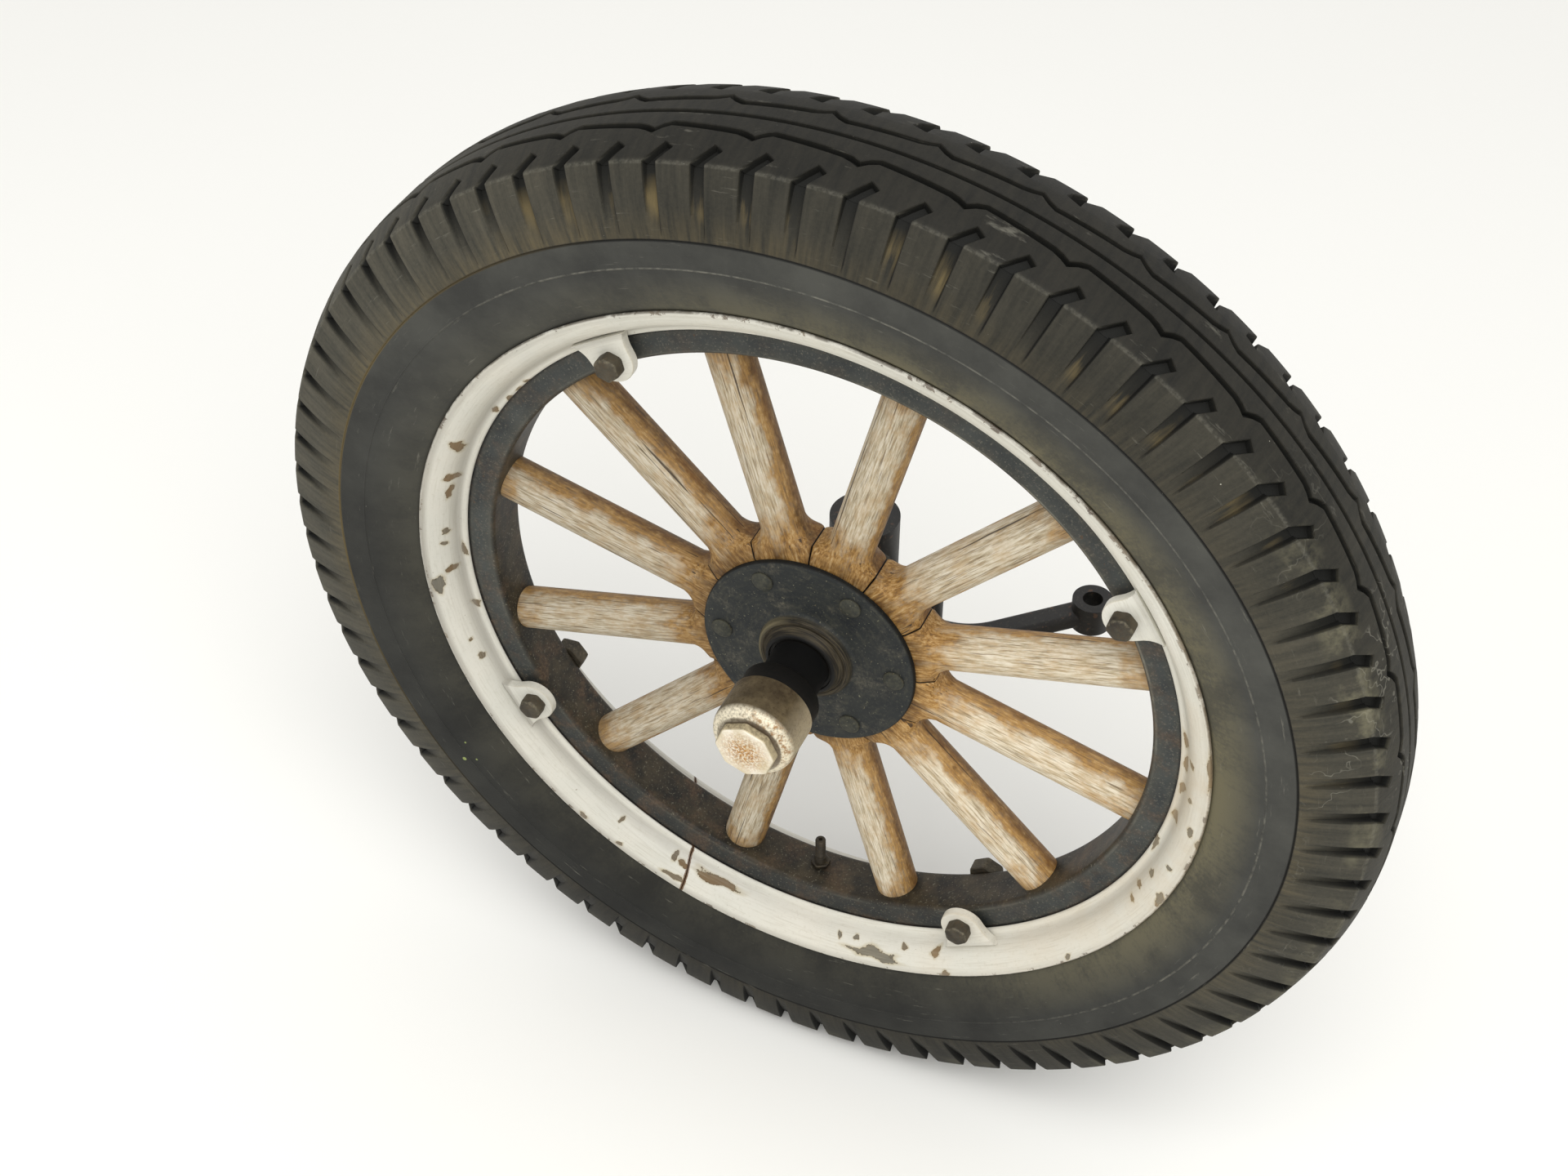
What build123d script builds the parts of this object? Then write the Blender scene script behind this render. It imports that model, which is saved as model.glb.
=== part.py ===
from build123d import *
import os
from math import radians, sin, tan

os.makedirs("parts", exist_ok=True)

# Left front wheel of a 1920s car: wood spokes, split demountable rim and
# balloon tyre, turning on its stub axle with the steering arm.
# Millimetres. The king-pin bore runs along Z through the origin. The wheel
# turns about the Y axis, its outer face looks toward -Y and the car's front
# lies toward -X. Angles around the wheel run from +X toward +Z.

# Wheel as a whole
wheel_offset = 75.0          # king-pin axis to the wheel's middle plane
spoke_count = 12
first_spoke_angle = 16.0
lug_count = 4
first_lug_angle = 31.0
hub_bolt_count = 6
first_hub_bolt_angle = 1.0
valve_angle = -89.0
rim_split_angle = -109.0
rim_split_slant = 12.0

# Tyre
bead_seat_radius = 265.0
tyre_height = 124.0          # bead seat to crown
tyre_width = 113.0
crown_half_width = 16.0
tread_half_width = 44.5
tread_drop = 9.8             # crown to the tread's edge, measured in radius
tread_thickness = 15.0
tyre_wall = 16.0             # with the inner tube against it
bead_thickness = 10.5
bead_gap = 0.2
lip_clearance = 2.0          # tyre to the rim's lip

# Rim
flange_height = 16.0
rim_half_width = 45.0
bead_half_width = 34.0
rim_wall = 3.0
rim_lip = 2.0
flange_step = 5.0            # the flange's bend stands this far out from the bead
rim_seat_slope = 3.0
rim_split_gap = 1.0
rim_seat_height = 6.0
rim_seat_length = 12.0

# Felloe, the steel channel around the spokes
felloe_depth = 20.0
felloe_width = 34.0
felloe_shift = -2.0          # its middle lies this far outboard of the wheel's
felloe_wall = 3.0
felloe_bend = 4.0

# Spokes
spoke_thickness = 31.0       # of the wedges clamped at the hub
spoke_radius = 15.2
spoke_tenon_radius = 9.0
spoke_crotch_radius = 10.6   # rounding between neighbouring spokes, just beyond the hub plate
spoke_side_flat = 0.6        # the wedge's sides lie this far inside the round shaft
spoke_taper_inset = 4.0      # the flat faces start to round off this far inside the plate's edge
spoke_taper_length = 38.0
tenon_clearance = 0.2

# Hub
hub_barrel_radius = 32.0
hub_flange_radius = 76.0
hub_flange_thickness = 6.0
hub_neck_radius = 20.0
hub_neck_end = 59.0          # outboard of the wheel's middle plane
hub_ring_radius = 27.0
hub_ring_width = 16.0
hub_thread_radius = 22.0
hub_thread_length = 14.0
hub_tail_radius = 31.0
hub_tail_length = 18.0
hub_bore_radius = 18.0
nut_room_radius = 18.5

# Hub plate and its bolts
plate_thickness = 4.5
plate_edge = 2.4             # rounding of its outer edge
collar_radius = 33.0
collar_top_radius = 24.0
collar_height = 12.0
collar_foot = 3.0            # the collar flares by this much into the plate
collar_lip = 6.5             # height of its rounded shoulder
hub_bolt_inset = 14.0        # bolt circle to the flange's edge
hub_bolt_radius = 4.8
hub_bolt_head_radius = 7.4
hub_bolt_head_height = 3.5
hub_bolt_head_rim = 1.2      # height of the head's straight edge
hub_bolt_end = 2.5           # beyond the nut
hub_bolt_nut_flats = 16.0
hub_bolt_nut_height = 7.5

# Hub cap
cap_radius = 28.5
cap_length = 35.0
cap_wall = 2.5
cap_shoulder = 10.0          # length of the rounding in front
cap_nose_flats = 38.8        # the nose is eight-sided
cap_nose_height = 7.0
cap_nose_angle = 2.0
cap_nose_chamfer = 1.2
cap_thread_clearance = 0.2

# Rim lugs and their bolts
lug_bolt_inset = 12.0        # bolt circle to the felloe's rim side
lug_half_width = 15.6
lug_root_half_width = 21.0   # where the ear meets the rim
lug_thickness = 6.5
lug_front = 33.0             # outboard of the wheel's middle plane
lug_bolt_radius = 6.0
lug_bolt_flats = 16.0
lug_bolt_head_height = 10.0
lug_bolt_head_rounding = 3.0
lug_bolt_end = 3.0           # beyond the nut
lug_nut_flats = 22.0
lug_nut_height = 11.0
bolt_clearance = 0.4

# Valve
valve_reach = 27.0           # tip to the felloe's inner face
valve_thread_radius = 3.85
valve_thread_length = 18.0
valve_body_radius = 4.6
valve_nut_flats = 13.0
valve_nut_height = 4.0
valve_button_radius = 9.0
valve_button_height = 2.0

# Stub axle
boss_radius = 24.0
boss_height = 92.0
bushing_wall = 2.5
king_pin_bore_radius = 10.0
bushing_length = 32.0
collar_face = 31.0           # face that the inner bearing rests on, outboard of the king pin
spindle_root_radius = 21.0
inner_seat_radius = 15.0
inner_bearing_radius = 25.0
inner_bearing_length = 19.0
outer_seat_radius = 9.0
outer_bearing_radius = 16.0
outer_bearing_length = 15.0
spindle_thread_radius = 8.0
spindle_thread_length = 17.0
spindle_nut_flats = 24.0
spindle_nut_height = 12.0
running_clearance = 0.05

# Steering arm
arm_lug_reach = 44.0
arm_lug_radius = 15.0
arm_lug_height = 24.0
arm_lug_top = -10.0
arm_shank_radius = 8.0
arm_base_height = 14.0
arm_bar_height = 11.0
arm_bar_width = 19.0
arm_bar_corner = 4.0
arm_straight = 34.0
arm_bend_radius = 70.0
arm_eye_x = 152.0
arm_eye_y = 45.0
arm_eye_z = -22.0
arm_eye_radius = 14.0
arm_eye_height = 22.0
arm_eye_bore_radius = 7.0
arm_nut_flats = 24.0
arm_nut_height = 10.0

# Sizes that follow from the ones above
middle = -wheel_offset
tyre_radius = bead_seat_radius + tyre_height
flange_radius = bead_seat_radius + flange_height
rim_base_radius = bead_seat_radius - rim_wall
felloe_radius = rim_base_radius - rim_seat_height
felloe_inner_radius = felloe_radius - felloe_depth
lug_circle = felloe_radius - lug_bolt_inset
valve_tip_radius = felloe_inner_radius - valve_reach
hub_bolt_circle = hub_flange_radius - hub_bolt_inset
spoke_pitch = 360.0 / spoke_count
felloe_front = middle + felloe_shift - felloe_width / 2
felloe_back = middle + felloe_shift + felloe_width / 2
spoke_front = middle - spoke_thickness / 2
spoke_back = middle + spoke_thickness / 2
plate_front = spoke_front - plate_thickness
flange_back = spoke_back + hub_flange_thickness
hub_tail_end = flange_back + hub_tail_length
ring_start = middle - hub_neck_end
ring_end = ring_start - hub_ring_width
outer_bearing_end = middle - hub_neck_end + 2.0
outer_bearing_start = outer_bearing_end + outer_bearing_length
inner_bearing_end = -collar_face - inner_bearing_length
spindle_end = outer_bearing_end - spindle_thread_length
lug_front_face = middle - lug_front
lug_back_face = lug_front_face + lug_thickness
lug_pitch = 360.0 / lug_count
hub_bolt_pitch = 360.0 / hub_bolt_count


def turned(points):
    """A solid of revolution about Y from (radius, y) points."""
    return revolve(make_face(Polyline(*points, close=True)), Axis.Y)


def tube(inner_radius, outer_radius, y_from, y_to):
    """A round ring about Y; an inner radius of zero gives a disc."""
    return turned([(inner_radius, y_from), (outer_radius, y_from), (outer_radius, y_to), (inner_radius, y_to)])


def around(shape, angle):
    """The shape turned about Y, so that what pointed along +X points along the angle."""
    return Rot(0, -angle, 0) * shape


def bar_along_y(sketch, x, y_from, y_to):
    """A sketch drawn in its own XY plane, set at x and extruded along Y."""
    plane = Plane(origin=(x, y_from, 0), x_dir=(1, 0, 0), z_dir=(0, 1, 0))
    return extrude(plane * sketch, y_to - y_from)


def pin_along_y(radius, x, y_from, y_to):
    return bar_along_y(Circle(radius), x, y_from, y_to)


def hexagon(flats):
    return RegularPolygon(flats / 2, 6, major_radius=False, rotation=30)


def octagon(flats, corner_angle):
    return RegularPolygon(flats / 2, 8, major_radius=False, rotation=corner_angle)


def pin_along_x(radius, x_from, x_to, y):
    plane = Plane(origin=(x_from, y, 0), x_dir=(0, 1, 0), z_dir=(1, 0, 0))
    return extrude(plane * Circle(radius), x_to - x_from)


def save(name, shape):
    shape.label = name
    export_step(shape, f"parts/{name}.step")


# Tyre: a hollow carcass whose beads sit in the rim
def make_tyre():
    half = tyre_width / 2
    sidewall = tyre_radius - flange_radius
    bead_radius = bead_seat_radius + bead_gap
    bead_face = bead_half_width - bead_gap
    inner_half = half - tyre_wall
    crown_inside = tyre_radius - tread_thickness
    outer_side = [
        (bead_radius, bead_face),
        (flange_radius + lip_clearance, rim_half_width - 1.1 * lip_clearance),
        (flange_radius + 0.20 * sidewall, half - 4.0),
        (flange_radius + 0.38 * sidewall, half),
        (flange_radius + 0.58 * sidewall, half),
        (tyre_radius - tread_drop, tread_half_width),
        (tyre_radius, crown_half_width),
    ]
    inner_side = [
        (bead_radius, bead_face - bead_thickness),
        (flange_radius + 0.10 * sidewall, inner_half),
        (crown_inside, inner_half),
    ]
    front = [(radius, middle - y) for radius, y in outer_side]
    back = [(radius, middle + y) for radius, y in reversed(outer_side)]
    inside_back = [(radius, middle + y) for radius, y in inner_side]
    inside_front = [(radius, middle - y) for radius, y in reversed(inner_side)]
    return turned(front + back + inside_back + inside_front)


# Rim: a rolled section with two seats for the felloe, cut through once
def make_rim_ring():
    seat_front = felloe_front + felloe_wall / 2
    seat_back = felloe_back - felloe_wall / 2
    half_seat = rim_seat_length / 2
    slope = rim_seat_slope

    def flange(side):
        return [
            (bead_seat_radius, middle + side * bead_half_width),
            (flange_radius - 3 * rim_lip, middle + side * (bead_half_width + flange_step)),
            (flange_radius, middle + side * (rim_half_width - rim_lip)),
            (flange_radius, middle + side * rim_half_width),
            (flange_radius - 4 * rim_lip, middle + side * (rim_half_width - rim_lip)),
            (bead_seat_radius - rim_wall / 2, middle + side * (bead_half_width + 0.7 * flange_step)),
        ]

    front = flange(-1)
    back = list(reversed(flange(1)))
    seats = [
        (rim_base_radius, seat_front - half_seat - slope - rim_wall),
        (felloe_radius, seat_front - half_seat - slope),
        (felloe_radius, seat_front + half_seat),
        (rim_base_radius, seat_front + half_seat + slope),
        (rim_base_radius, seat_back - half_seat - slope),
        (felloe_radius, seat_back - half_seat),
        (felloe_radius, seat_back + half_seat),
        (rim_base_radius, seat_back + half_seat + slope),
    ]
    return turned(front + seats + back)


def make_rim():
    cut_length = 2.4 * rim_half_width
    cut_depth = 2 * (flange_radius - felloe_radius)
    cut_middle = (flange_radius + felloe_radius) / 2
    cut = Pos(cut_middle, middle, 0) * Rot(rim_split_slant, 0, 0) * Box(cut_depth, cut_length, rim_split_gap)
    valve_hole = pin_along_x(valve_body_radius + bolt_clearance, felloe_radius - 1.0, bead_seat_radius + 1.0, middle)
    return make_rim_ring() - around(cut, rim_split_angle) - around(valve_hole, valve_angle)


def lug_angles():
    return [first_lug_angle + index * lug_pitch for index in range(lug_count)]


# Felloe: a channel open toward the rim, drilled for tenons, lug bolts and valve
def make_felloe():
    bend = felloe_bend
    felloe = turned([
        (felloe_inner_radius, felloe_front + bend),
        (felloe_inner_radius + 0.3 * bend, felloe_front + 0.3 * bend),
        (felloe_inner_radius + bend, felloe_front),
        (felloe_radius, felloe_front),
        (felloe_radius, felloe_front + felloe_wall),
        (felloe_inner_radius + felloe_wall, felloe_front + felloe_wall),
        (felloe_inner_radius + felloe_wall, felloe_back - felloe_wall),
        (felloe_radius, felloe_back - felloe_wall),
        (felloe_radius, felloe_back),
        (felloe_inner_radius + bend, felloe_back),
        (felloe_inner_radius + 0.3 * bend, felloe_back - 0.3 * bend),
        (felloe_inner_radius, felloe_back - bend),
    ])
    tenon_hole = pin_along_x(
        spoke_tenon_radius + tenon_clearance,
        felloe_inner_radius - 2.0,
        felloe_inner_radius + 2 * felloe_wall,
        middle,
    )
    for index in range(spoke_count):
        felloe -= around(tenon_hole, first_spoke_angle + index * spoke_pitch)
    bolt_hole = pin_along_y(lug_bolt_radius + bolt_clearance, lug_circle, felloe_front - 1.0, felloe_back + 1.0)
    for angle in lug_angles():
        felloe -= around(bolt_hole, angle)
    valve_hole = pin_along_x(
        valve_body_radius + 2 * bolt_clearance,
        felloe_inner_radius - 2.0,
        felloe_inner_radius + 2 * felloe_wall,
        middle,
    )
    return felloe - around(valve_hole, valve_angle)


# Rim lug: a flat ear on the rim's front ridge that the bolt pulls inboard
def make_rim_lug(rim_ring):
    root = rim_base_radius - lug_circle
    flank = [(0, -lug_half_width), (root, -lug_root_half_width), (root, lug_root_half_width), (0, lug_half_width)]
    outline = make_face(Polyline(*flank, close=True)) + Circle(lug_half_width)
    beyond = Pos(root + lug_half_width, 0) * Rectangle(2 * lug_half_width, 4 * lug_half_width)
    ear = bar_along_y(outline - beyond, lug_circle, lug_front_face, lug_back_face)
    hole = pin_along_y(lug_bolt_radius + bolt_clearance, lug_circle, lug_front_face, lug_back_face)
    return ear - hole - rim_ring


def make_lug_bolt():
    head_face = lug_front_face - lug_bolt_head_height
    nut_face = felloe_back + lug_nut_height
    head = bar_along_y(hexagon(lug_bolt_flats), lug_circle, head_face, lug_front_face)
    corner = 0.7 * lug_bolt_flats
    dome = turned([(0, head_face), (lug_bolt_flats / 2, head_face), (corner, head_face + lug_bolt_head_rounding),
                   (corner, lug_front_face), (0, lug_front_face)])
    head = head & (Pos(lug_circle, 0, 0) * dome)
    shank = pin_along_y(lug_bolt_radius, lug_circle, lug_front_face, nut_face + lug_bolt_end)
    nut = bar_along_y(hexagon(lug_nut_flats), lug_circle, felloe_back, nut_face)
    return head + shank + nut


# Spoke: a mitred wedge at the hub, rounded off into a round shaft with a tenon
def make_spoke():
    half_angle = radians(spoke_pitch / 2)
    waist = spoke_radius - spoke_side_flat
    rounding_height = waist + spoke_crotch_radius
    rounding_end = rounding_height / tan(half_angle)
    crotch = rounding_height / sin(half_angle) - spoke_crotch_radius
    crotch_half = crotch * sin(half_angle)
    crotch_x = crotch_half / tan(half_angle)
    barrel_half = hub_barrel_radius * tan(half_angle)
    taper_start = hub_flange_radius - spoke_taper_inset
    taper_end = taper_start + spoke_taper_length
    upper = [
        Line((hub_barrel_radius, barrel_half), (crotch_x, crotch_half)),
        TangentArc((rounding_end, waist), (crotch_x, crotch_half), tangent=(-1, 0)),
        Line((rounding_end, waist), (taper_end, waist)),
        Line((taper_end, waist), (taper_end, -waist)),
    ]
    lower = [
        Line((taper_end, -waist), (rounding_end, -waist)),
        TangentArc((rounding_end, -waist), (crotch_x, -crotch_half), tangent=(-1, 0)),
        Line((crotch_x, -crotch_half), (hub_barrel_radius, -barrel_half)),
        Line((hub_barrel_radius, -barrel_half), (hub_barrel_radius, barrel_half)),
    ]
    outline = make_face(Curve() + upper + lower)
    plane = Plane(origin=(0, spoke_back, 0), x_dir=(1, 0, 0), z_dir=(0, -1, 0))
    wedge = extrude(plane * outline, spoke_thickness)
    widest = 2 * crotch_half
    rounding = about_spoke_axis([
        (hub_barrel_radius - 1.0, 0),
        (hub_barrel_radius - 1.0, widest),
        (taper_start, widest),
        (taper_start, 1.2 * crotch_half),
        (taper_end, spoke_radius),
        (taper_end, 0),
    ])
    shaft = pin_along_x(spoke_radius, (crotch_x + rounding_end) / 2, felloe_inner_radius + 2.0, middle)
    inside_felloe = tube(0, felloe_inner_radius, middle - spoke_thickness, middle + spoke_thickness)
    tenon = pin_along_x(
        spoke_tenon_radius, felloe_inner_radius - 4.0, felloe_inner_radius + 2 * felloe_wall, middle
    )
    return (wedge & rounding) + (shaft & inside_felloe) + tenon


def about_spoke_axis(points):
    """A solid of revolution about a spoke's own axis from (place along the spoke, radius) points."""
    axis = Axis((0, middle, 0), (1, 0, 0))
    return revolve(make_face(Polyline(*[(x, middle + radius) for x, radius in points], close=True)), axis)


def hub_bolt_angles():
    return [first_hub_bolt_angle + index * hub_bolt_pitch for index in range(hub_bolt_count)]


def make_spokes():
    """Spokes cut for the bolts in the mitres beside them, in the spoke's own place, then turned."""
    blank = make_spoke()
    hole = pin_along_y(hub_bolt_radius + bolt_clearance / 2, hub_bolt_circle, spoke_front - 1.0, spoke_back + 1.0)
    spokes = {}
    for index in range(spoke_count):
        spoke_angle = first_spoke_angle + index * spoke_pitch
        spoke = blank
        for bolt_angle in hub_bolt_angles():
            beside = (bolt_angle - spoke_angle + 180.0) % 360.0 - 180.0
            if abs(beside) < spoke_pitch:
                spoke -= around(hole, beside)
        spokes[f"spoke_{index + 1:02d}"] = around(spoke, spoke_angle)
    return spokes


# Hub: rear flange, barrel through the spokes, stepped neck with the cap's thread
def make_hub():
    seat_inner = inner_bearing_radius + running_clearance
    seat_outer = outer_bearing_radius + running_clearance
    thread_end = ring_end - hub_thread_length
    hub = turned([
        (seat_inner, hub_tail_end),
        (hub_tail_radius, hub_tail_end),
        (hub_tail_radius, flange_back),
        (hub_flange_radius, flange_back),
        (hub_flange_radius, spoke_back),
        (hub_barrel_radius, spoke_back),
        (hub_barrel_radius, spoke_front),
        (hub_neck_radius, spoke_front),
        (hub_neck_radius, ring_start + 2.0),
        (hub_ring_radius - 2.0, ring_start),
        (hub_ring_radius, ring_start - 2.0),
        (hub_ring_radius, ring_end),
        (hub_thread_radius, ring_end),
        (hub_thread_radius, thread_end),
        (nut_room_radius, thread_end),
        (nut_room_radius, outer_bearing_end),
        (seat_outer, outer_bearing_end),
        (seat_outer, outer_bearing_start),
        (hub_bore_radius - 4.0, outer_bearing_start),
        (hub_bore_radius - 2.0, spoke_front),
        (hub_bore_radius, inner_bearing_end - 4.0),
        (hub_bore_radius + 2.0, inner_bearing_end),
        (seat_inner, inner_bearing_end),
    ])
    hole = pin_along_y(hub_bolt_radius + bolt_clearance / 2, hub_bolt_circle, spoke_back - 1.0, flange_back + 1.0)
    for angle in hub_bolt_angles():
        hub -= around(hole, angle)
    return hub


def make_hub_plate():
    hole_radius = hub_neck_radius + 0.3
    collar_front = plate_front - collar_height
    plate = turned([
        (hole_radius, spoke_front),
        (hub_flange_radius, spoke_front),
        (hub_flange_radius, plate_front + 0.8 * plate_edge),
        (hub_flange_radius - plate_edge, plate_front),
        (collar_radius + collar_foot, plate_front),
        (collar_radius, plate_front - 0.8 * collar_foot),
        (collar_radius - 0.15 * collar_lip, plate_front - 0.85 * collar_lip),
        (collar_radius - 0.5 * collar_lip, plate_front - collar_lip),
        (collar_radius - 0.75 * collar_lip, plate_front - 0.9 * collar_lip),
        (collar_top_radius, collar_front),
        (hole_radius, collar_front),
    ])
    hole = pin_along_y(hub_bolt_radius + bolt_clearance / 2, hub_bolt_circle, spoke_front + 1.0, plate_front - 1.0)
    for angle in hub_bolt_angles():
        plate -= around(hole, angle)
    return plate


def make_hub_bolt():
    head_front = plate_front - hub_bolt_head_height
    nut_face = flange_back + hub_bolt_nut_height
    profile = [
        (0, head_front),
        (0.6 * hub_bolt_head_radius, head_front + 0.2 * hub_bolt_head_height),
        (hub_bolt_head_radius, plate_front - hub_bolt_head_rim),
        (hub_bolt_head_radius, plate_front),
        (hub_bolt_radius, plate_front),
        (hub_bolt_radius, nut_face + hub_bolt_end),
        (0, nut_face + hub_bolt_end),
    ]
    bolt = Pos(hub_bolt_circle, 0, 0) * turned(profile)
    nut = bar_along_y(hexagon(hub_bolt_nut_flats), hub_bolt_circle, flange_back, nut_face)
    return bolt + nut


def make_hub_cap():
    front = ring_end - cap_length
    thread = hub_thread_radius + cap_thread_clearance
    room_end = front + cap_wall
    room_radius = thread - 0.8 * cap_wall
    body = turned([
        (thread, ring_end),
        (cap_radius, ring_end),
        (cap_radius, front + cap_shoulder),
        (cap_radius - 0.06 * cap_shoulder, front + 0.6 * cap_shoulder),
        (cap_radius - 0.2 * cap_shoulder, front + 0.32 * cap_shoulder),
        (cap_radius - 0.4 * cap_shoulder, front + 0.15 * cap_shoulder),
        (cap_radius - 0.7 * cap_shoulder, front),
        (0, front),
        (0, room_end),
        (room_radius, room_end),
        (thread, ring_end - hub_thread_length - 1.0),
    ])
    nose = bar_along_y(octagon(cap_nose_flats, -cap_nose_angle), 0, front - cap_nose_height, front)
    face = nose.faces().sort_by(Axis.Y)[0]
    return body + chamfer(face.edges(), cap_nose_chamfer)


def make_valve_stem():
    body_tip = valve_tip_radius + valve_thread_length
    thread = pin_along_x(valve_thread_radius, valve_tip_radius, body_tip, middle)
    body = pin_along_x(valve_body_radius, body_tip, bead_seat_radius, middle)
    button = pin_along_x(valve_button_radius, bead_seat_radius, bead_seat_radius + valve_button_height, middle)
    plane = Plane(origin=(felloe_inner_radius - valve_nut_height, middle, 0), x_dir=(0, 1, 0), z_dir=(1, 0, 0))
    nut = extrude(plane * hexagon(valve_nut_flats), valve_nut_height - 0.3)
    return around(thread + body + button + nut, valve_angle)


# Stub axle: king-pin boss, arm lug and the tapered spindle that carries the hub
def make_stub_axle():
    shoulder = spindle_root_radius - 2.0
    inner_end = inner_bearing_end - 2.0
    boss = Cylinder(boss_radius, boss_height)
    spindle = turned([
        (0, 0),
        (boss_radius - 1.0, 0),
        (boss_radius - 1.0, -boss_radius + 6.0),
        (spindle_root_radius, -boss_radius - 1.0),
        (spindle_root_radius, 1.5 - collar_face),
        (shoulder, -collar_face),
        (inner_seat_radius, -collar_face),
        (inner_seat_radius, inner_end),
        (inner_seat_radius - 1.5, inner_end - 3.0),
        (outer_seat_radius + 1.5, outer_bearing_start + 3.0),
        (outer_seat_radius + 1.5, outer_bearing_start),
        (outer_seat_radius, outer_bearing_start),
        (outer_seat_radius, outer_bearing_end),
        (spindle_thread_radius, outer_bearing_end),
        (spindle_thread_radius, spindle_end + 1.0),
        (spindle_thread_radius - 1.0, spindle_end),
        (0, spindle_end),
    ])
    lug_middle = arm_lug_top - arm_lug_height / 2
    web = Pos(arm_lug_reach / 2, 0, lug_middle) * Box(arm_lug_reach, 1.6 * arm_lug_radius, arm_lug_height)
    lug = Pos(arm_lug_reach, 0, lug_middle) * Cylinder(arm_lug_radius, arm_lug_height)
    bushing_bore = Cylinder(king_pin_bore_radius + bushing_wall, 2 * boss_height)
    shank_hole = Pos(arm_lug_reach, 0, lug_middle) * Cylinder(arm_shank_radius + 0.1, 2 * arm_lug_height)
    return boss + spindle + web + lug - bushing_bore - shank_hole


def make_bushing(upper):
    outer = king_pin_bore_radius + bushing_wall
    height = (boss_height - bushing_length) / 2
    ring = Cylinder(outer, bushing_length) - Cylinder(king_pin_bore_radius, 2 * bushing_length)
    return Pos(0, 0, height if upper else -height) * ring


def make_bearing(seat_radius, outer_radius, y_from, y_to):
    """Cone, rollers' cage and cup of a taper bearing as one ring."""
    depth = y_from - y_to
    third = (outer_radius - seat_radius) / 3
    return turned([
        (seat_radius, y_from),
        (seat_radius + third, y_from),
        (seat_radius + third, y_from - 0.25 * depth),
        (outer_radius, y_from - 0.25 * depth),
        (outer_radius, y_to),
        (outer_radius - third, y_to),
        (outer_radius - third, y_to + 0.1 * depth),
        (seat_radius + third, y_to + 0.1 * depth),
        (seat_radius + third, y_to),
        (seat_radius, y_to),
    ])


def make_spindle_nut():
    blank = bar_along_y(hexagon(spindle_nut_flats), 0, outer_bearing_end - spindle_nut_height, outer_bearing_end)
    return blank - tube(0, spindle_thread_radius, spindle_end, outer_bearing_end + 1.0)


def make_steering_arm():
    lug_bottom = arm_lug_top - arm_lug_height
    base_middle = lug_bottom - arm_base_height / 2
    base = Pos(arm_lug_reach, 0, base_middle) * Cylinder(arm_lug_radius, arm_base_height)
    shank_top = arm_lug_top + arm_nut_height + 3.0
    shank_height = shank_top - lug_bottom
    shank = Pos(arm_lug_reach, 0, lug_bottom + shank_height / 2) * Cylinder(arm_shank_radius, shank_height)
    eye = Pos(arm_eye_x, arm_eye_y, arm_eye_z) * Cylinder(arm_eye_radius, arm_eye_height)
    start = Vector(arm_lug_reach, 0, base_middle)
    end = Vector(arm_eye_x, arm_eye_y, arm_eye_z)
    path = FilletPolyline(start, start + Vector(arm_straight, 0, 0), end, radius=arm_bend_radius)
    section = RectangleRounded(arm_bar_width, arm_bar_height, arm_bar_corner)
    bar = sweep(Plane(origin=start, x_dir=(0, 1, 0), z_dir=(1, 0, 0)) * section, path)
    bore = Pos(arm_eye_x, arm_eye_y, arm_eye_z) * Cylinder(arm_eye_bore_radius, 2 * arm_eye_height)
    return base + shank + eye + bar - bore


def make_steering_arm_nut():
    blank = extrude(Plane.XY.offset(arm_lug_top) * Pos(arm_lug_reach, 0) * hexagon(arm_nut_flats), arm_nut_height)
    return blank - Pos(arm_lug_reach, 0, arm_lug_top) * Cylinder(arm_shank_radius, 4 * arm_nut_height)


def main():
    rim_ring = make_rim_ring()
    rim_lug = make_rim_lug(rim_ring)
    lug_bolt = make_lug_bolt()
    hub_bolt = make_hub_bolt()
    save("tyre", make_tyre())
    save("rim", make_rim())
    save("felloe", make_felloe())
    for index, angle in enumerate(lug_angles()):
        save(f"rim_lug_{index + 1}", around(rim_lug, angle))
        save(f"lug_bolt_{index + 1}", around(lug_bolt, angle))
    for name, spoke in make_spokes().items():
        save(name, spoke)
    save("hub", make_hub())
    save("hub_plate", make_hub_plate())
    for index, angle in enumerate(hub_bolt_angles()):
        save(f"hub_bolt_{index + 1}", around(hub_bolt, angle))
    save("hub_cap", make_hub_cap())
    save("valve_stem", make_valve_stem())
    save("stub_axle", make_stub_axle())
    save("upper_bushing", make_bushing(True))
    save("lower_bushing", make_bushing(False))
    save("inner_bearing", make_bearing(inner_seat_radius, inner_bearing_radius, -collar_face, inner_bearing_end))
    save("outer_bearing", make_bearing(outer_seat_radius, outer_bearing_radius, outer_bearing_start, outer_bearing_end))
    save("spindle_nut", make_spindle_nut())
    save("steering_arm", make_steering_arm())
    save("steering_arm_nut", make_steering_arm_nut())


main()
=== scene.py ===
import functools
import bpy
import numpy as np
from math import cos, degrees, hypot, pi, radians, sin, sqrt, tan
from mathutils import Matrix, Vector


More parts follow.
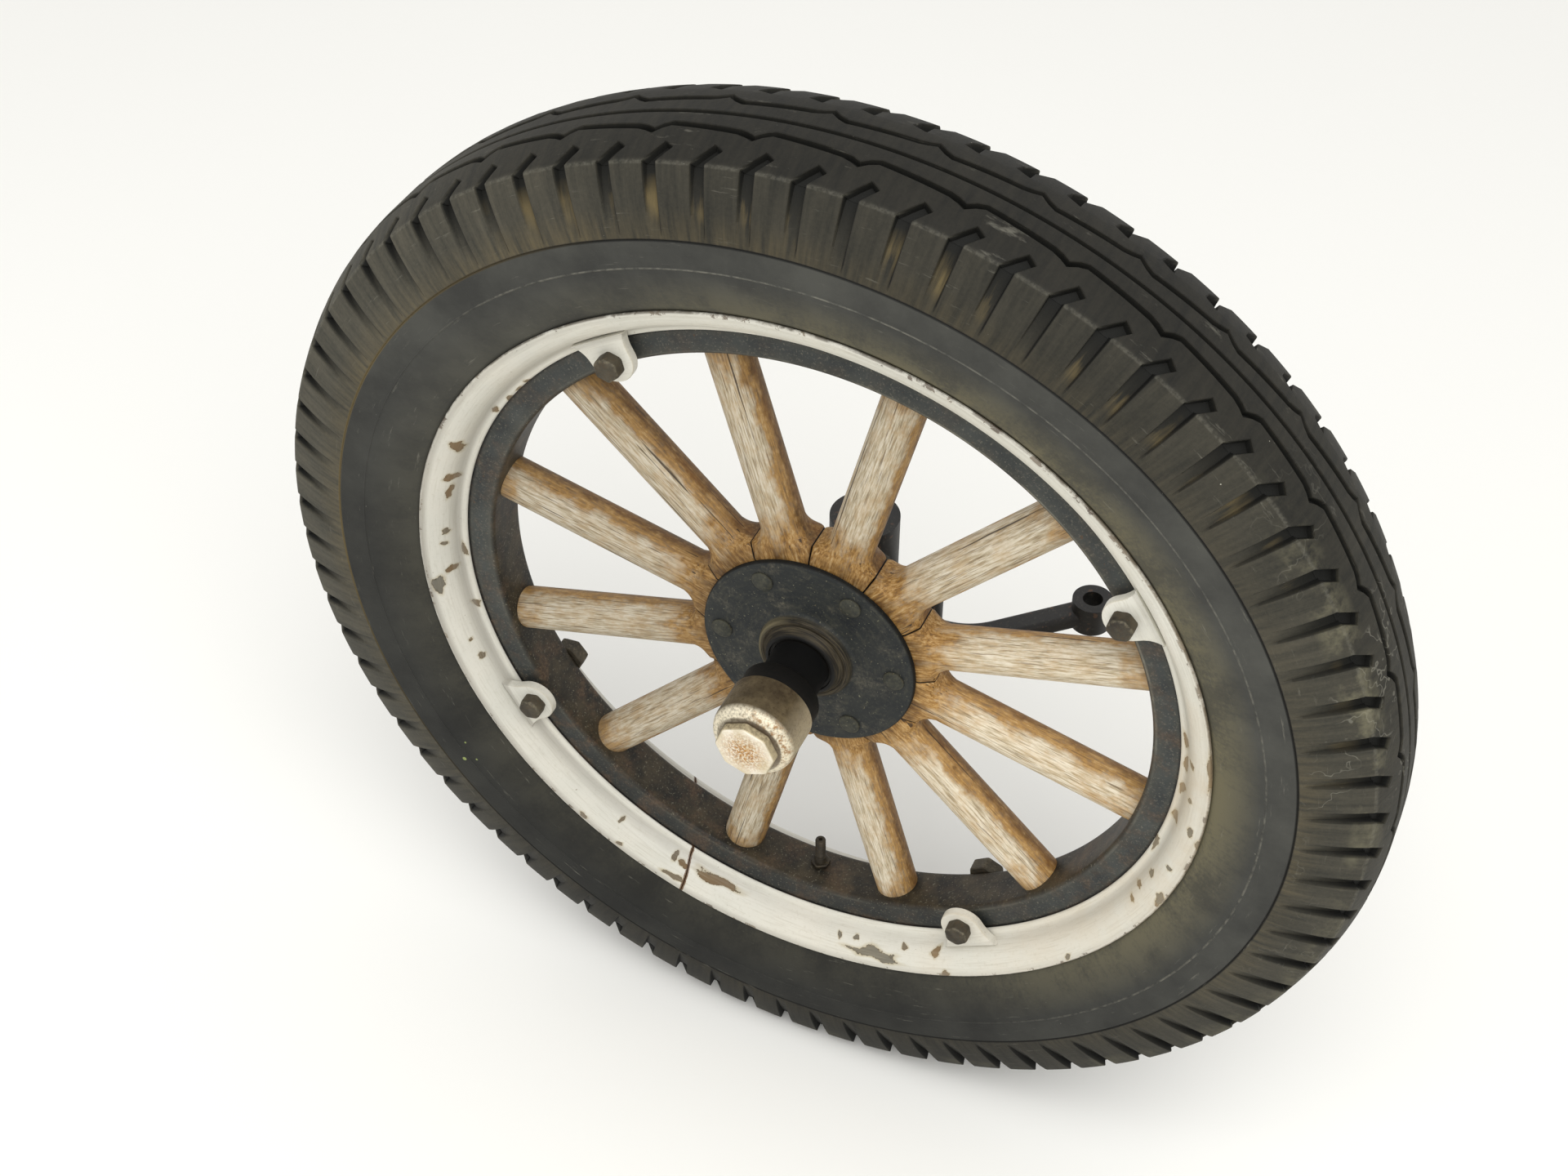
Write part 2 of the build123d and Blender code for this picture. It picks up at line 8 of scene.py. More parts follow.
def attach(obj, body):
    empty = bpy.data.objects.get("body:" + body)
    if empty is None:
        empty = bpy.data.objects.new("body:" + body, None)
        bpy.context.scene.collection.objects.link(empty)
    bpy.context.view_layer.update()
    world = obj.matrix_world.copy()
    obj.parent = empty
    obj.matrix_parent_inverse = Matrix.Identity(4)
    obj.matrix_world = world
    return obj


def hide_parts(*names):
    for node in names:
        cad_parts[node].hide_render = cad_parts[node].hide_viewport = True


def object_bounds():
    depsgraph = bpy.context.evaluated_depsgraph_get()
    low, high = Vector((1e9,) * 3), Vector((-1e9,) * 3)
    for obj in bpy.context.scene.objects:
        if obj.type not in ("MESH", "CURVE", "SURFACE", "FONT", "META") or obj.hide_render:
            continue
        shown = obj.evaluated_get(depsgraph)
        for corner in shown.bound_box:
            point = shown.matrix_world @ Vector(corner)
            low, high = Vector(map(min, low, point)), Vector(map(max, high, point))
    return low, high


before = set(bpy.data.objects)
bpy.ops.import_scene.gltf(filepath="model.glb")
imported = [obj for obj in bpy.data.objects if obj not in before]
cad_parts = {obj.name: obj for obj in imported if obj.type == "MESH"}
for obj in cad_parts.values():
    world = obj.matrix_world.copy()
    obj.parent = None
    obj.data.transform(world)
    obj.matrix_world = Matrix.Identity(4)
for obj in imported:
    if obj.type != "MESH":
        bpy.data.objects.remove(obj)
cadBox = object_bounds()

mm = 0.001
wheelPlane = -75  # the wheel's middle plane along the axle, mm
plane = wheelPlane * mm


def toLinear(hexCode):
    parts = [int(hexCode[i:i + 2], 16) / 255 for i in (1, 3, 5)]
    return tuple(c / 12.92 if c <= 0.04045 else ((c + 0.055) / 1.055) ** 2.4 for c in parts) + (1,)


# short kinds of node: type, settings and inputs that are always the same, what its values go to, the output given
shortKinds = {
    "noise": ("ShaderNodeTexNoise", {"noise_dimensions": "4D"}, ("Vector", "Scale", "Detail", "Roughness", "W"), "Fac"),
    "span": ("ShaderNodeMapRange", {"clamp": True}, (0, 1, 2, 3, 4), 0),
    "blend": ("ShaderNodeMix", {"data_type": "RGBA"}, (0, 6, 7), 2),
    "shade": ("ShaderNodeMix", {"data_type": "RGBA", "blend_type": "MULTIPLY", 0: 1}, (6, 7), 2),
    "ramp": ("ShaderNodeValToRGB", {}, (0,), 0),
    "mark": ("ShaderNodeAttribute", {}, ("attribute_name",), "Fac"),
    "vector": ("ShaderNodeCombineXYZ", {}, (0, 1, 2), 0),
    "dent": ("ShaderNodeBump", {}, ("Height", "Strength", "Distance"), 0),
    "surface": ("ShaderNodeBsdfPrincipled", {},
                ("Base Color", "Roughness", "Specular IOR Level", "Normal", "Metallic"), 0),
    "finish": ("ShaderNodeOutputMaterial", {}, (0,), None)}
for sign, operation in {"+": "ADD", "-": "SUBTRACT", "*": "MULTIPLY", "abs": "ABSOLUTE", "cos": "COSINE", "sin": "SINE",
                        "atan2": "ARCTAN2", "max": "MAXIMUM"}.items():
    shortKinds[sign] = ("ShaderNodeMath", {"operation": operation}, (0, 1), 0)


def addNode(tree, kind, *values, **settings):
    # gives the node, or a short kind's output; a dictionary among the values names its inputs
    nodeType, fixed, sockets, output = shortKinds.get(kind, (kind, {}, range(9), None))
    while nodeType == "ShaderNodeMath" and len(values) > 2:  # a longer sum or product is a chain
        values = ((kind,) + values[:2],) + values[2:]
    node = tree.nodes.new(nodeType)
    wanted = {**fixed, **settings}
    for socket, value in zip(sockets, values):
        wanted.update(value if isinstance(value, dict) else {socket: value})
    for name, value in wanted.items():
        if name == "stops":  # a ramp's stops by place: a hex colour or a grey level
            ramp = node.color_ramp
            while len(ramp.elements) < len(value):
                ramp.elements.new(0.5)
            for element, (place, shade) in zip(ramp.elements, value.items()):
                element.position = place
                element.color = toLinear(shade) if isinstance(shade, str) else (shade, shade, shade, 1)
        elif isinstance(name, str) and name not in node.inputs:
            setattr(node, name, value)
        else:
            value = made(tree, value)
            if isinstance(value, bpy.types.NodeSocket):
                tree.links.new(value, node.inputs[name])
            else:
                isColour = isinstance(value, str) and value.startswith("#")
                node.inputs[name].default_value = toLinear(value) if isColour else value
    return node if output is None else node.outputs[output]


def made(tree, value):
    # a tuple stands for a node: (kind, its values), (value, low, high, to low, to high) for a range of the value, or
    # (angle, levels) for a level that changes round the axle, its stops in degrees from -180 to 180
    if not isinstance(value, tuple) or isinstance(value[0], (int, float)):
        return value
    if isinstance(value[0], str):
        return addNode(tree, *value)
    if isinstance(value[1], dict):
        angle, levels = value
        stops = {(a + 180) / 360: level for a, level in levels.items()}
        stops.setdefault(1, levels[-180])
        return addNode(tree, "ramp", (angle, -pi, pi), stops=stops)
    return addNode(tree, "span", *value)


def newMaterial(name):
    material = bpy.data.materials.new(name)
    material.use_nodes = True
    material.node_tree.nodes.clear()
    return material, functools.partial(addNode, material.node_tree)


def ringNoise(add, angle, radius, along, scales, detail=4, roughness=0.6):
    # noise with its own scale round the axle, outwards and along it, without a seam
    turn = [("*", (way, angle), scales[0]) for way in ("cos", "sin")]
    return add("noise", ("vector", *turn, ("*", radius, scales[1])), 1, detail, roughness, ("*", along, scales[2]))


def layered(add, colour, *layers):
    # lays colours over one another; a layer is (where it lies, its colour)
    for place, shade in layers:
        colour = add("blend", place, colour, shade)
    return colour


def polarCoordinates(add):
    # place, radius from the axle, angle round it and distance along it, all from the piece's own metres
    place = add("ShaderNodeTexCoord").outputs["Object"]
    x, y, z = add("ShaderNodeSeparateXYZ", place).outputs
    radius = add("ShaderNodeVectorMath", ("vector", x, z), operation="LENGTH").outputs["Value"]
    return place, radius, add("atan2", z, x), y


def dress(material, *nodeNames):
    for name in nodeNames:
        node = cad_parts[name]
        if not node.data.materials:
            node.data.materials.append(material)
        for i in range(len(node.data.materials)):
            node.data.materials[i] = material


def placed(name, data):
    thing = bpy.data.objects.new(name, data)
    bpy.context.collection.objects.link(thing)
    return thing


def makePiece(name, shape, body, material, sharp=32):
    points, faces, marks = shape
    mesh = bpy.data.meshes.new(name)
    mesh.from_pydata([tuple(p) for p in points], [], faces)
    for key, values in marks.items():
        flat = np.asarray(values, dtype=np.float32)
        layer = mesh.attributes.new(key, "FLOAT_VECTOR" if flat.ndim == 2 else "FLOAT", "POINT")
        layer.data.foreach_set("vector" if flat.ndim == 2 else "value", flat.ravel())
    mesh.validate()
    piece = placed(name, mesh)
    finishMesh(piece, material, sharp)
    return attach(piece, body) if body else piece


def finishMesh(piece, material, sharp):
    mesh = piece.data
    mesh.materials.clear()
    mesh.materials.append(material)
    mesh.polygons.foreach_set("use_smooth", [True] * len(mesh.polygons))
    mesh.set_sharp_from_angle(angle=radians(sharp))
    mesh.update()


def wheelPoint(radius, angle, across):
    # radius and across in mm, angle in degrees from the front of the wheel upwards
    a = radians(angle)
    return (radius * cos(a) * mm, (across + wheelPlane) * mm, radius * sin(a) * mm)


def atAngle(angle):
    # places (out from the axle, beside that line, across the wheel) at an angle round the axle
    c, s = cos(radians(angle)), sin(radians(angle))
    return lambda p: ((p[0] * c - p[1] * s) * mm, (p[2] + wheelPlane) * mm, (p[0] * s + p[1] * c) * mm)


def outward(points, faces):
    # turns every face over when the shell encloses a negative volume
    total = 0
    for face in faces:
        a = Vector(points[face[0]])
        for j in range(1, len(face) - 1):
            total += a.dot(Vector(points[face[j]]).cross(Vector(points[face[j + 1]])))
    return faces if total > 0 else [tuple(reversed(face)) for face in faces]


def between(rings, n):
    # faces between rings of n points
    corners = [(i * n + k, i * n + (k + 1) % n) for i in range(rings - 1) for k in range(n)]
    return [(a, b, b + n, a + n) for a, b in corners]


def loft(rings, position, wear=None):
    # joins rings of equal length into a closed body; wear is one value per ring
    n = len(rings[0])
    local = [p for ring in rings for p in ring]
    faces = between(len(rings), n)
    faces += [tuple(reversed(range(n))), tuple((len(rings) - 1) * n + k for k in range(n))]
    wears = [w for w in (wear or [0] * len(rings)) for k in range(n)]
    points = [position(p) for p in local]
    return points, outward(points, faces), {"wear": wears, "local": [tuple(v * mm for v in p) for p in local]}


def joined(*shapes):
    points, faces, marks = [], [], {}
    for shapePoints, shapeFaces, shapeMarks in shapes:
        faces += [tuple(i + len(points) for i in face) for face in shapeFaces]
        points += shapePoints
        for key, values in shapeMarks.items():
            marks.setdefault(key, []).extend(values)
    return points, faces, marks


def turned(profile, segments, slant=0, start=0, gap=0):
    # turns a closed section of (radius, across, wear) round the axle; with a gap, both cut ends are closed
    arc = 360 - gap
    rings = segments + 1 if gap else segments
    points, faces, wears = [], [], []
    for k in range(rings):
        angle = start + gap / 2 + arc * k / segments
        points += [wheelPoint(row[0], angle + slant * row[1] / row[0], row[1]) for row in profile]
        wears += [row[2] if len(row) > 2 else 0 for row in profile]
    n = len(profile)
    for k in range(segments):
        for i in range(n):
            a, b = k * n, (k + 1) % rings * n
            faces.append((a + i, b + i, b + (i + 1) % n, a + (i + 1) % n))
    if gap:
        last = (rings - 1) * n
        faces += [tuple(range(n)), tuple(last + i for i in reversed(range(n)))]
    return points, outward(points, faces), {"wear": wears}


def arc(cr, cy, size, fromDegrees, toDegrees, steps=6, wear=0):
    return [(cr + size * cos(radians(t)), cy + size * sin(radians(t)), wear)
            for t in np.linspace(fromDegrees, toDegrees, steps)]


def manySided(sides, flats, corner, turn=0, steps=8):
    # a polygon's outline as (angle in radians, radius), its corners cut back to a circle
    outline = []
    for k in range(sides * steps):
        t = 2 * pi * k / (sides * steps)
        inSide = (t + pi / sides) % (2 * pi / sides) - pi / sides
        outline.append((t + radians(turn), min(flats / 2 / cos(inSide), corner)))
    return outline


def prism(centre, outline, layers, position):
    # layers of (across, scale, wear) of one outline round a centre (out, beside)
    rings = [[(centre[0] + r * size * cos(t), centre[1] + r * size * sin(t), across) for t, r in outline]
             for across, size, wear in layers]
    return loft(rings, position, [layer[2] for layer in layers])


def circle(steps=40):
    return [(2 * pi * k / steps, 1) for k in range(steps)]


# camera
view = {"focalPixels": 2675, "imageWidth": 1920, "sensor": 36,
        "place": (0.4106, -1.0270, 1.0223), "ahead": (-0.3028, 0.6606, -0.6870), "right": (0.9090, 0.4167, 0)}
lens = bpy.data.cameras.new("photoCamera")
lens.sensor_width = view["sensor"]
lens.lens = view["focalPixels"] / view["imageWidth"] * view["sensor"]
lens.clip_start = 0.05
photoCamera = placed("photoCamera", lens)
ahead = Vector(view["ahead"]).normalized()
right = Vector(view["right"]).normalized()
above = right.cross(ahead).normalized()
photoCamera.matrix_world = Matrix.Translation(view["place"]) @ Matrix((right, above, -ahead)).transposed().to_4x4()
bpy.context.scene.camera = photoCamera
bpy.context.scene.view_settings.view_transform = "Standard"
print("camera placed")

# floor, lamps and sky
studio = {"floorHeight": cadBox[0].z, "reach": 14, "skyLight": 0.78, "lookedAt": (0, -0.07, 0),
          "lamps": {"keyLamp": (60, 2.2, (0.9, -1.4, 2.6)), "fillLamp": (9, 2.5, (-2.4, -1.6, 1.4))}}
floorMaterial, add = newMaterial("paintedFloor")
grain = add("ShaderNodeTexNoise", {"Scale": 3, "Detail": 3}).outputs["Fac"]
tone = add("ramp", grain, stops={0.3: "#F6F5F0", 0.7: "#FBFAF5"})
add("finish", ("surface", tone, 0.8, 0.2))
floorMesh = bpy.data.meshes.new("floor")
reach = studio["reach"]
floorMesh.from_pydata([(x * reach, y * reach, 0) for x, y in ((-1, -1), (1, -1), (1, 1), (-1, 1))], [], [(0, 1, 2, 3)])
floorMesh.materials.append(floorMaterial)
floor = placed("floor", floorMesh)
floor.location.z = studio["floorHeight"]

for name, (power, size, place) in studio["lamps"].items():
    lamp = bpy.data.lights.new(name, "AREA")
    lamp.energy = power
    lamp.size = size
    holder = placed(name, lamp)
    holder.location = place
    holder.rotation_euler = (Vector(place) - Vector(studio["lookedAt"])).to_track_quat("Z", "Y").to_euler()

sky = bpy.data.worlds.new("studioSky")
bpy.context.scene.world = sky
sky.use_nodes = True
sky.node_tree.nodes.clear()
add = functools.partial(addNode, sky.node_tree)
rays = add("ShaderNodeLightPath").outputs
seen = add("max", *(rays["Is %s Ray" % kind] for kind in ("Camera", "Glossy", "Transmission")))
lit, shown = (add("ShaderNodeBackground", {"Color": (1, 1, 1, 1), "Strength": light}).outputs[0]
              for light in (studio["skyLight"], 1))
add("ShaderNodeOutputWorld", add("ShaderNodeMixShader", seen, lit, shown).outputs[0])
print("floor and light set")


# weathered tyre rubber: charcoal with pale road dust, and painted shade that makes the grooves nearly black
rubberLook = {
    "rubber": "#373734", "rubberPale": "#4A4A45", "band": "#383730", "bandPale": "#575347", "groove": "#161613",
    "dust": "#6B654E", "residue": "#6E6040", "scuff": "#8E8B7E", "crease": "#0F0F0E", "mud": "#7F7A62",
    "speck": "#B5B2A2",
    "paintSpots": [((-0.2648, -0.131, -0.1203), 0.0042, "#5A4A38"), ((-0.2597, -0.131, -0.1700), 0.0016, "#8F9A5E"),
                   ((-0.2617, -0.131, -0.1873), 0.0016, "#8F9A5E"), ((-0.2515, -0.131, -0.1847), 0.0014, "#8F9A5E")]}
rubber, add = newMaterial("weatheredTyreRubber")
place, radius, angle, along = polarCoordinates(add)
cloud = add("noise", place, 22, 6, 0.6)
fine = add("noise", place, 420, 5, 0.65)
streaks = ringNoise(add, angle, radius, along, (95, 24, 30))
side = add("blend", (cloud, 0.35, 0.65), rubberLook["rubber"], rubberLook["rubberPale"])
# painted shade: the sidewall darker over its lower left and bottom, lightest at the upper right
side = add("shade", side, (angle, {-180: 0.5, -115: 0.32, -75: 0.38, -25: 0.8, 30: 1, 150: 0.85}))
band = add("blend", (("+", ("*", streaks, 0.45), ("*", cloud, 0.3), ("*", fine, 0.25)), 0.38, 0.64),
           rubberLook["band"], rubberLook["bandPale"])
# painted shade: the tread band darker at the bottom and at the top, where a fender's shadow falls, and its crown darker
# again over the top
band = add("shade", band, (angle, {-180: 1, -150: 0.8, -120: 0.3, -60: 0.35, -20: 0.75, 25: 0.75, 60: 0.45, 100: 0.5,
                                   130: 0.9}))
crown = (angle, {-180: 1, -30: 0.8, 40: 0.5, 120: 0.45, 145: 0.95})
band = add("blend", (radius, 0.3785, 0.3805), band, ("shade", band, crown))
colour = add("blend", (radius, 0.3352, 0.3364), side, band)
patches = add("noise", place, 14, 3, 0.5)
colour = layered(
    add, colour,
    # brown dust lies over the step under the tread; the step itself is painted shade, a dark line except at the left
    # where residue shows
    (("*", (radius, 0.3355, 0.3375), (radius, 0.356, 0.338), (streaks, 0.3, 0.75), (patches, 0.4, 0.6, 0.4, 1),
      (angle, {-180: 0.4, -120: 0.05, -40: 0.1, 5: 0.45, 50: 0.12, 90: 0.3, 125: 0.6})), rubberLook["residue"]),
    ((("abs", ("-", radius, 0.3359)), 0.0012, 0.0005, 0, 0.8),
     ("blend", (angle, {-180: 0.9, -150: 0.2, -130: 0, 110: 0, 150: 0.9}), rubberLook["crease"],
      rubberLook["residue"])),
    # dust near the rim, heaviest toward the upper rear
    (("*", (radius, 0.314, 0.286), (("cos", ("-", angle, 0.5)), -0.1, 0.9, 0.12, 0.95),
      (("+", cloud, ("*", fine, 0.5), ("*", streaks, 0.3)), 0.78, 0.98, 0.35, 1)), rubberLook["dust"]),
    # scuffs: short pale hairs over the sidewall, and the raised line rubbed pale
    ((ringNoise(add, angle, radius, along, (14, 420, 90), 5, 0.7), 0.62, 0.74, 0, 0.35), rubberLook["scuff"]),
    (("*", (("abs", ("-", radius, 0.3169)), 0.0009, 0.0003),
      (angle, {-180: 0, -60: 0.05, -30: 0.4, 60: 0.25, 90: 0.4, 125: 0.35, 140: 0}),
      (ringNoise(add, angle, radius, along, (60, 200, 1)), 0.4, 0.6)), rubberLook["scuff"]),
    # cobweb scratches on the rear shoulder, and mud dried on the blocks there
    (("*", (("abs", ("-", ("noise", place, 34, 3, 0.6), 0.5)), 0.009, 0.002), (radius, 0.336, 0.35),
      (patches, 0.5, 0.56), (angle, {-180: 0, -25: 0, 0: 0.35, 25: 0.4, 45: 0})), rubberLook["scuff"]),
    (("*", (radius, 0.3635, 0.37), (radius, 0.3845, 0.38), (("noise", place, 26, 5, 0.7), 0.48, 0.62, 0, 0.6),
      (angle, {-180: 0, -30: 0.3, 0: 0.5, 20: 1, 32: 0.9, 45: 0.1, 60: 0})), rubberLook["mud"]),
    # pale specks on the whole tread, and a painted highlight along the blocks' outer edges, which are rubbed pale too
    (("*", (("noise", place, 380, 1, 0.5, 7), 0.8, 0.83, 0, 0.8), (radius, 0.333, 0.345, 0.3, 1)), rubberLook["speck"]),
    (("*", (("abs", ("-", radius, 0.3788)), 0.0012, 0.0004), (fine, 0.4, 0.6, 0.02, 0.16)), rubberLook["scuff"]))
# shoulder grooves: painted shade makes them dark, with tan residue low down in some; the crease is the one crisp wall,
# painted as a dark line of shade
grooveShadeAndResidue = layered(
    add, band, (0.35, rubberLook["groove"]), ((radius, 0.355, 0.374), rubberLook["groove"]),
    (("*", (radius, 0.371, 0.36), (radius, 0.34, 0.35), (("cos", ("-", angle, 1.25)), 0.3, 0.8),
      (("+", patches, ("*", streaks, 0.4)), 0.72, 0.84, 0, 0.8)), rubberLook["residue"]))
# painted shade: the grooves darkened by their depth, and the crease darkened everywhere but least at the right
colour = layered(
    add, colour, ((("mark", "grooveDepth"), 0.08, 0.4), grooveShadeAndResidue),
    (("*", ("mark", "crease"),
      (angle, {-180: 0.8, -50: 0.7, -10: 0.35, 45: 0.45, 75: 0.85})), rubberLook["crease"]))
# small spots of old paint on the front lower sidewall: where, radius and colour
for spot, size, shade in rubberLook["paintSpots"]:
    apart = add("ShaderNodeVectorMath", place, spot, operation="DISTANCE").outputs["Value"]
    apart = ("+", apart, ("*", fine, size * 0.5))
    colour = add("blend", (apart, size * 1.35, size * 1.1, 0, 0.85), colour, shade)
add("finish", ("surface", colour, 0.7, 0.2, ("dent", fine, 0.3, 0.0006)))

# the tyre: one stretch of two tread blocks, repeated round the wheel
tyre = {
    "blocks": 78, "firstWall": 90.26, "notchDepth": 6.4, "notchFadeRadius": 339, "notchFloor": 5.4,
    "notchEnds": (-33.4, 24.4), "notchSlant": 1.9, "ribDepth": 4.8, "zigWidth": 4.6, "centre": -5, "centreWidth": 4,
    "shear": 0.128, "shearReach": 12.2, "backShearFrom": 32.2, "crownEdge": 44.5, "crownRow": 43.4,
    "crownRadius": 379, "shoulder": 376.5, "backEdge": 45, "creaseFrom": 337.5, "creaseTo": 379.5,
    "creaseLean": 0.885, "zigSteep": 1.2, "zigzag": (-24.5, -18, -21, -24.5),
    "crown": [(0, 389), (12, 389), (20, 388.3), (26, 386.9), (32.5, 384.6), (39, 382), (43.7, 379.8), (44.5, 379.2)],
    "side": [(265.2, 33.8), (266, 34.5), (277, 40.5), (281.5, 42.7), (284.5, 45.2), (289, 47.8), (295, 50.2),
             (302, 52.6), (309, 54.4), (316.3, 55.6), (316.9, 56.15), (317.6, 55.75), (324, 56.2), (330, 56.4),
             (335.2, 56.5), (335.9, 55.7), (336.7, 56.45), (339, 56.3), (344, 55.6), (352, 53.9), (361, 51.4),
             (370, 48.5), (376.4, 46), (378.1, 45.2), (379.2, 44.5)],
    "inside": [(266, 24), (280, 29), (305, 40), (340, 43.5), (362, 36), (373, 18), (375, 0)],
}


def crownRadius(across):
    return float(np.interp(abs(across), *zip(*tyre["crown"])))


def sideNormal(i, sign):
    rows = tyre["side"]
    before, after = rows[max(i - 1, 0)], rows[min(i + 1, len(rows) - 1)]
    dr, dy = after[0] - before[0], after[1] - before[1]
    if i == len(rows) - 1:
        return 0.7, 0.714 * sign
    length = hypot(dr, dy)
    return -dy / length, dr / length * sign


def treadShear(across):
    # degrees by which the shoulder grooves lean back as they cross the crown's edges
    front = min(max(across + tyre["crownEdge"], 0), tyre["shearReach"])
    back = min(max(across - tyre["backShearFrom"], 0), tyre["shearReach"])
    return -tyre["shear"] * (front + back)


def zigzagCentre(angle, tipAngle):
    # a long slope from tip to tip, with a short steep one over a few degrees at each tip
    step, steep = 720 / tyre["blocks"], tyre["zigSteep"]
    return float(np.interp((tipAngle - angle) % step, (0, steep, step - steep, step), tyre["zigzag"]))


def treadColumns():
    # offset from the shoulder groove's left wall in degrees, the groove's depth there, and the lean of its floor
    block = [(0.06, 0), (-0.02, 0.10), (-0.16, 0.94), (-0.72, 1), (-1.22, 0.97), (-1.31, 0.94), (-1.42, 0.06),
             (-1.50, 0), (-2.3, 0), (-3.015, 0), (-3.8, 0)]
    pitch = 360 / tyre["blocks"]
    return [(offset - k * pitch, depth, (offset + 0.72) / -0.72) for k in (0, 1) for offset, depth in block]


def treadRows(offset, depth, lean):
    # one column of the stretch: radius, distance across, depth below the surface and normal
    lean = min(max(lean, -1), 1)
    fadeFrom, edge = tyre["notchFadeRadius"], tyre["crownRow"]
    # the groove's floor leans, so that its right wall stays crisp down to the step
    sides = [[(r, y * sign, depth * tyre["notchDepth"]
               * min(max((r - fadeFrom) / (tyre["crownRadius"] - fadeFrom), 0), 1) ** (1.1 - 0.45 * lean),
               sideNormal(i, sign)) for i, (r, y) in enumerate(tyre["side"])] for sign in (-1, 1)]
    wall, step = tyre["firstWall"] + offset, 360 / tyre["blocks"]
    notchEnd, backEnd = (end + tyre["notchSlant"] * -lean for end in tyre["notchEnds"])
    zig = zigzagCentre(wall + treadShear(-22), tyre["firstWall"] - step)
    backZig = 2 * tyre["centre"] - zigzagCentre(wall + treadShear(12), tyre["firstWall"])
    deep, deepest, rib = depth * tyre["notchFloor"], depth * (tyre["notchFloor"] + 0.6), tyre["ribDepth"]
    crownRows = [(-edge, deepest), (0.5 * (-edge + notchEnd), deep), (notchEnd - 0.7, deep),
                 (notchEnd - 0.1, depth * 0.6), (notchEnd + 0.3, 0)]
    for centre, wide in ((zig, tyre["zigWidth"]), (tyre["centre"], tyre["centreWidth"]), (backZig, tyre["zigWidth"])):
        w = wide / 2
        crownRows += [(0.5 * (crownRows[-1][0] + centre - w), 0), (centre - w - 0.25, 0), (centre - w + 0.2, 0.5),
                      (centre - w + 0.8, rib), (centre + w - 0.8, rib), (centre + w - 0.2, 0.5),
                      (centre + w + 0.25, 0)]
    crownRows += [(0.5 * (crownRows[-1][0] + backEnd), 0), (backEnd - 0.3, 0), (backEnd + 0.1, depth * 0.6),
                  (backEnd + 0.7, deep), (0.5 * (edge + backEnd), deep), (edge, deepest)]
    crown = []
    for y, d in crownRows:
        slope = crownRadius(y + 0.5) - crownRadius(y - 0.5)
        length = hypot(1, slope)
        crown.append((crownRadius(y), y, d, (1 / length, -slope / length)))
    inner = tyre["inside"]
    return (sides[0] + crown + sides[1][::-1] + [(r, y, 0, (0, 0)) for r, y in inner]
            + [(r, -y, 0, (0, 0)) for r, y in reversed(inner[:-1])])


points, depths, creases = [], [], []
columns = treadColumns()
columns.append((columns[0][0] - 720 / tyre["blocks"],) + columns[0][1:])
for offset, depth, lean in columns:
    for r, y, d, n in treadRows(offset, depth, lean):
        # behind the shoulder the lean stays what it is at the crown's edge
        shear = treadShear(tyre["backEdge"] if y > 0 and r < tyre["shoulder"] else y)
        points.append(wheelPoint(r - n[0] * d, tyre["firstWall"] + offset + shear, y - n[1] * d))
        depths.append(d / tyre["notchDepth"])
        # only the shoulder groove's right wall is a crease
        onWall = d > 0.02 and tyre["creaseFrom"] < r < tyre["creaseTo"] and abs(y) > 40
        creases.append(1 if onWall and abs(lean - tyre["creaseLean"]) < 0.1 else 0)
faces = between(len(columns), len(points) // len(columns))
treadStretch = points, faces, {"grooveDepth": depths, "crease": creases}


def ringTree(name):
    # repeats a piece round the axle, then welds the joins
    tree = bpy.data.node_groups.new(name, "GeometryNodeTree")
    for label, kind in (("Geometry", "NodeSocketGeometry"), ("Copies", "NodeSocketInt"), ("Step", "NodeSocketFloat"),
                        ("Weld", "NodeSocketFloat"), ("Finish", "NodeSocketMaterial")):
        tree.interface.new_socket(label, in_out="INPUT", socket_type=kind)
    tree.interface.new_socket("Geometry", in_out="OUTPUT", socket_type="NodeSocketGeometry")
    add = functools.partial(addNode, tree)
    given = add("NodeGroupInput").outputs
    spots = add("GeometryNodePoints", {"Count": given["Copies"]}).outputs[0]
    index = add("GeometryNodeInputIndex").outputs[0]
    whole = add("GeometryNodeGeometryToInstance", given["Geometry"]).outputs[0]
    turn = add("FunctionNodeEulerToRotation", ("vector", {1: ("*", index, given["Step"])})).outputs[0]
    copies = add("GeometryNodeInstanceOnPoints", {"Points": spots, "Instance": whole, "Rotation": turn}).outputs[0]
    marked = add("GeometryNodeStoreNamedAttribute", {"Geometry": copies, "Name": "copy", "Value": index},
                 data_type="FLOAT", domain="INSTANCE").outputs[0]
    real = add("GeometryNodeRealizeInstances", marked).outputs[0]
    welded = add("GeometryNodeMergeByDistance", {"Geometry": real, "Distance": given["Weld"]}).outputs[0]
    coated = add("GeometryNodeSetMaterial", {"Geometry": welded, "Material": given["Finish"]}).outputs[0]
    add("NodeGroupOutput", coated)
    return tree


ring = ringTree("roundTheAxle")
weldWithin = 0.00002


def ringPiece(name, shape, copies, material, sharp=40):
    source = makePiece(name + "Blank", shape, None, material, sharp)
    modifier = source.modifiers.new("ring", "NODES")
    modifier.node_group = ring
    sockets = {item.name: item.identifier for item in ring.interface.items_tree if item.in_out == "INPUT"}
    given = {"Copies": copies, "Step": radians(360 / copies), "Weld": weldWithin, "Finish": material}
    for label, value in given.items():
        modifier[sockets[label]] = value
    ready = source.evaluated_get(bpy.context.evaluated_depsgraph_get())
    mesh = bpy.data.meshes.new_from_object(ready)
    source.modifiers.remove(modifier)
    bpy.data.objects.remove(source)
    mesh.name = name
    piece = placed(name, mesh)
    finishMesh(piece, material, sharp)
    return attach(piece, "wheel")


tyrePiece = ringPiece("treadedTyre", treadStretch, tyre["blocks"] // 2, rubber, 22)
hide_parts("tyre")
print("tyre made", len(tyrePiece.data.polygons), "faces")


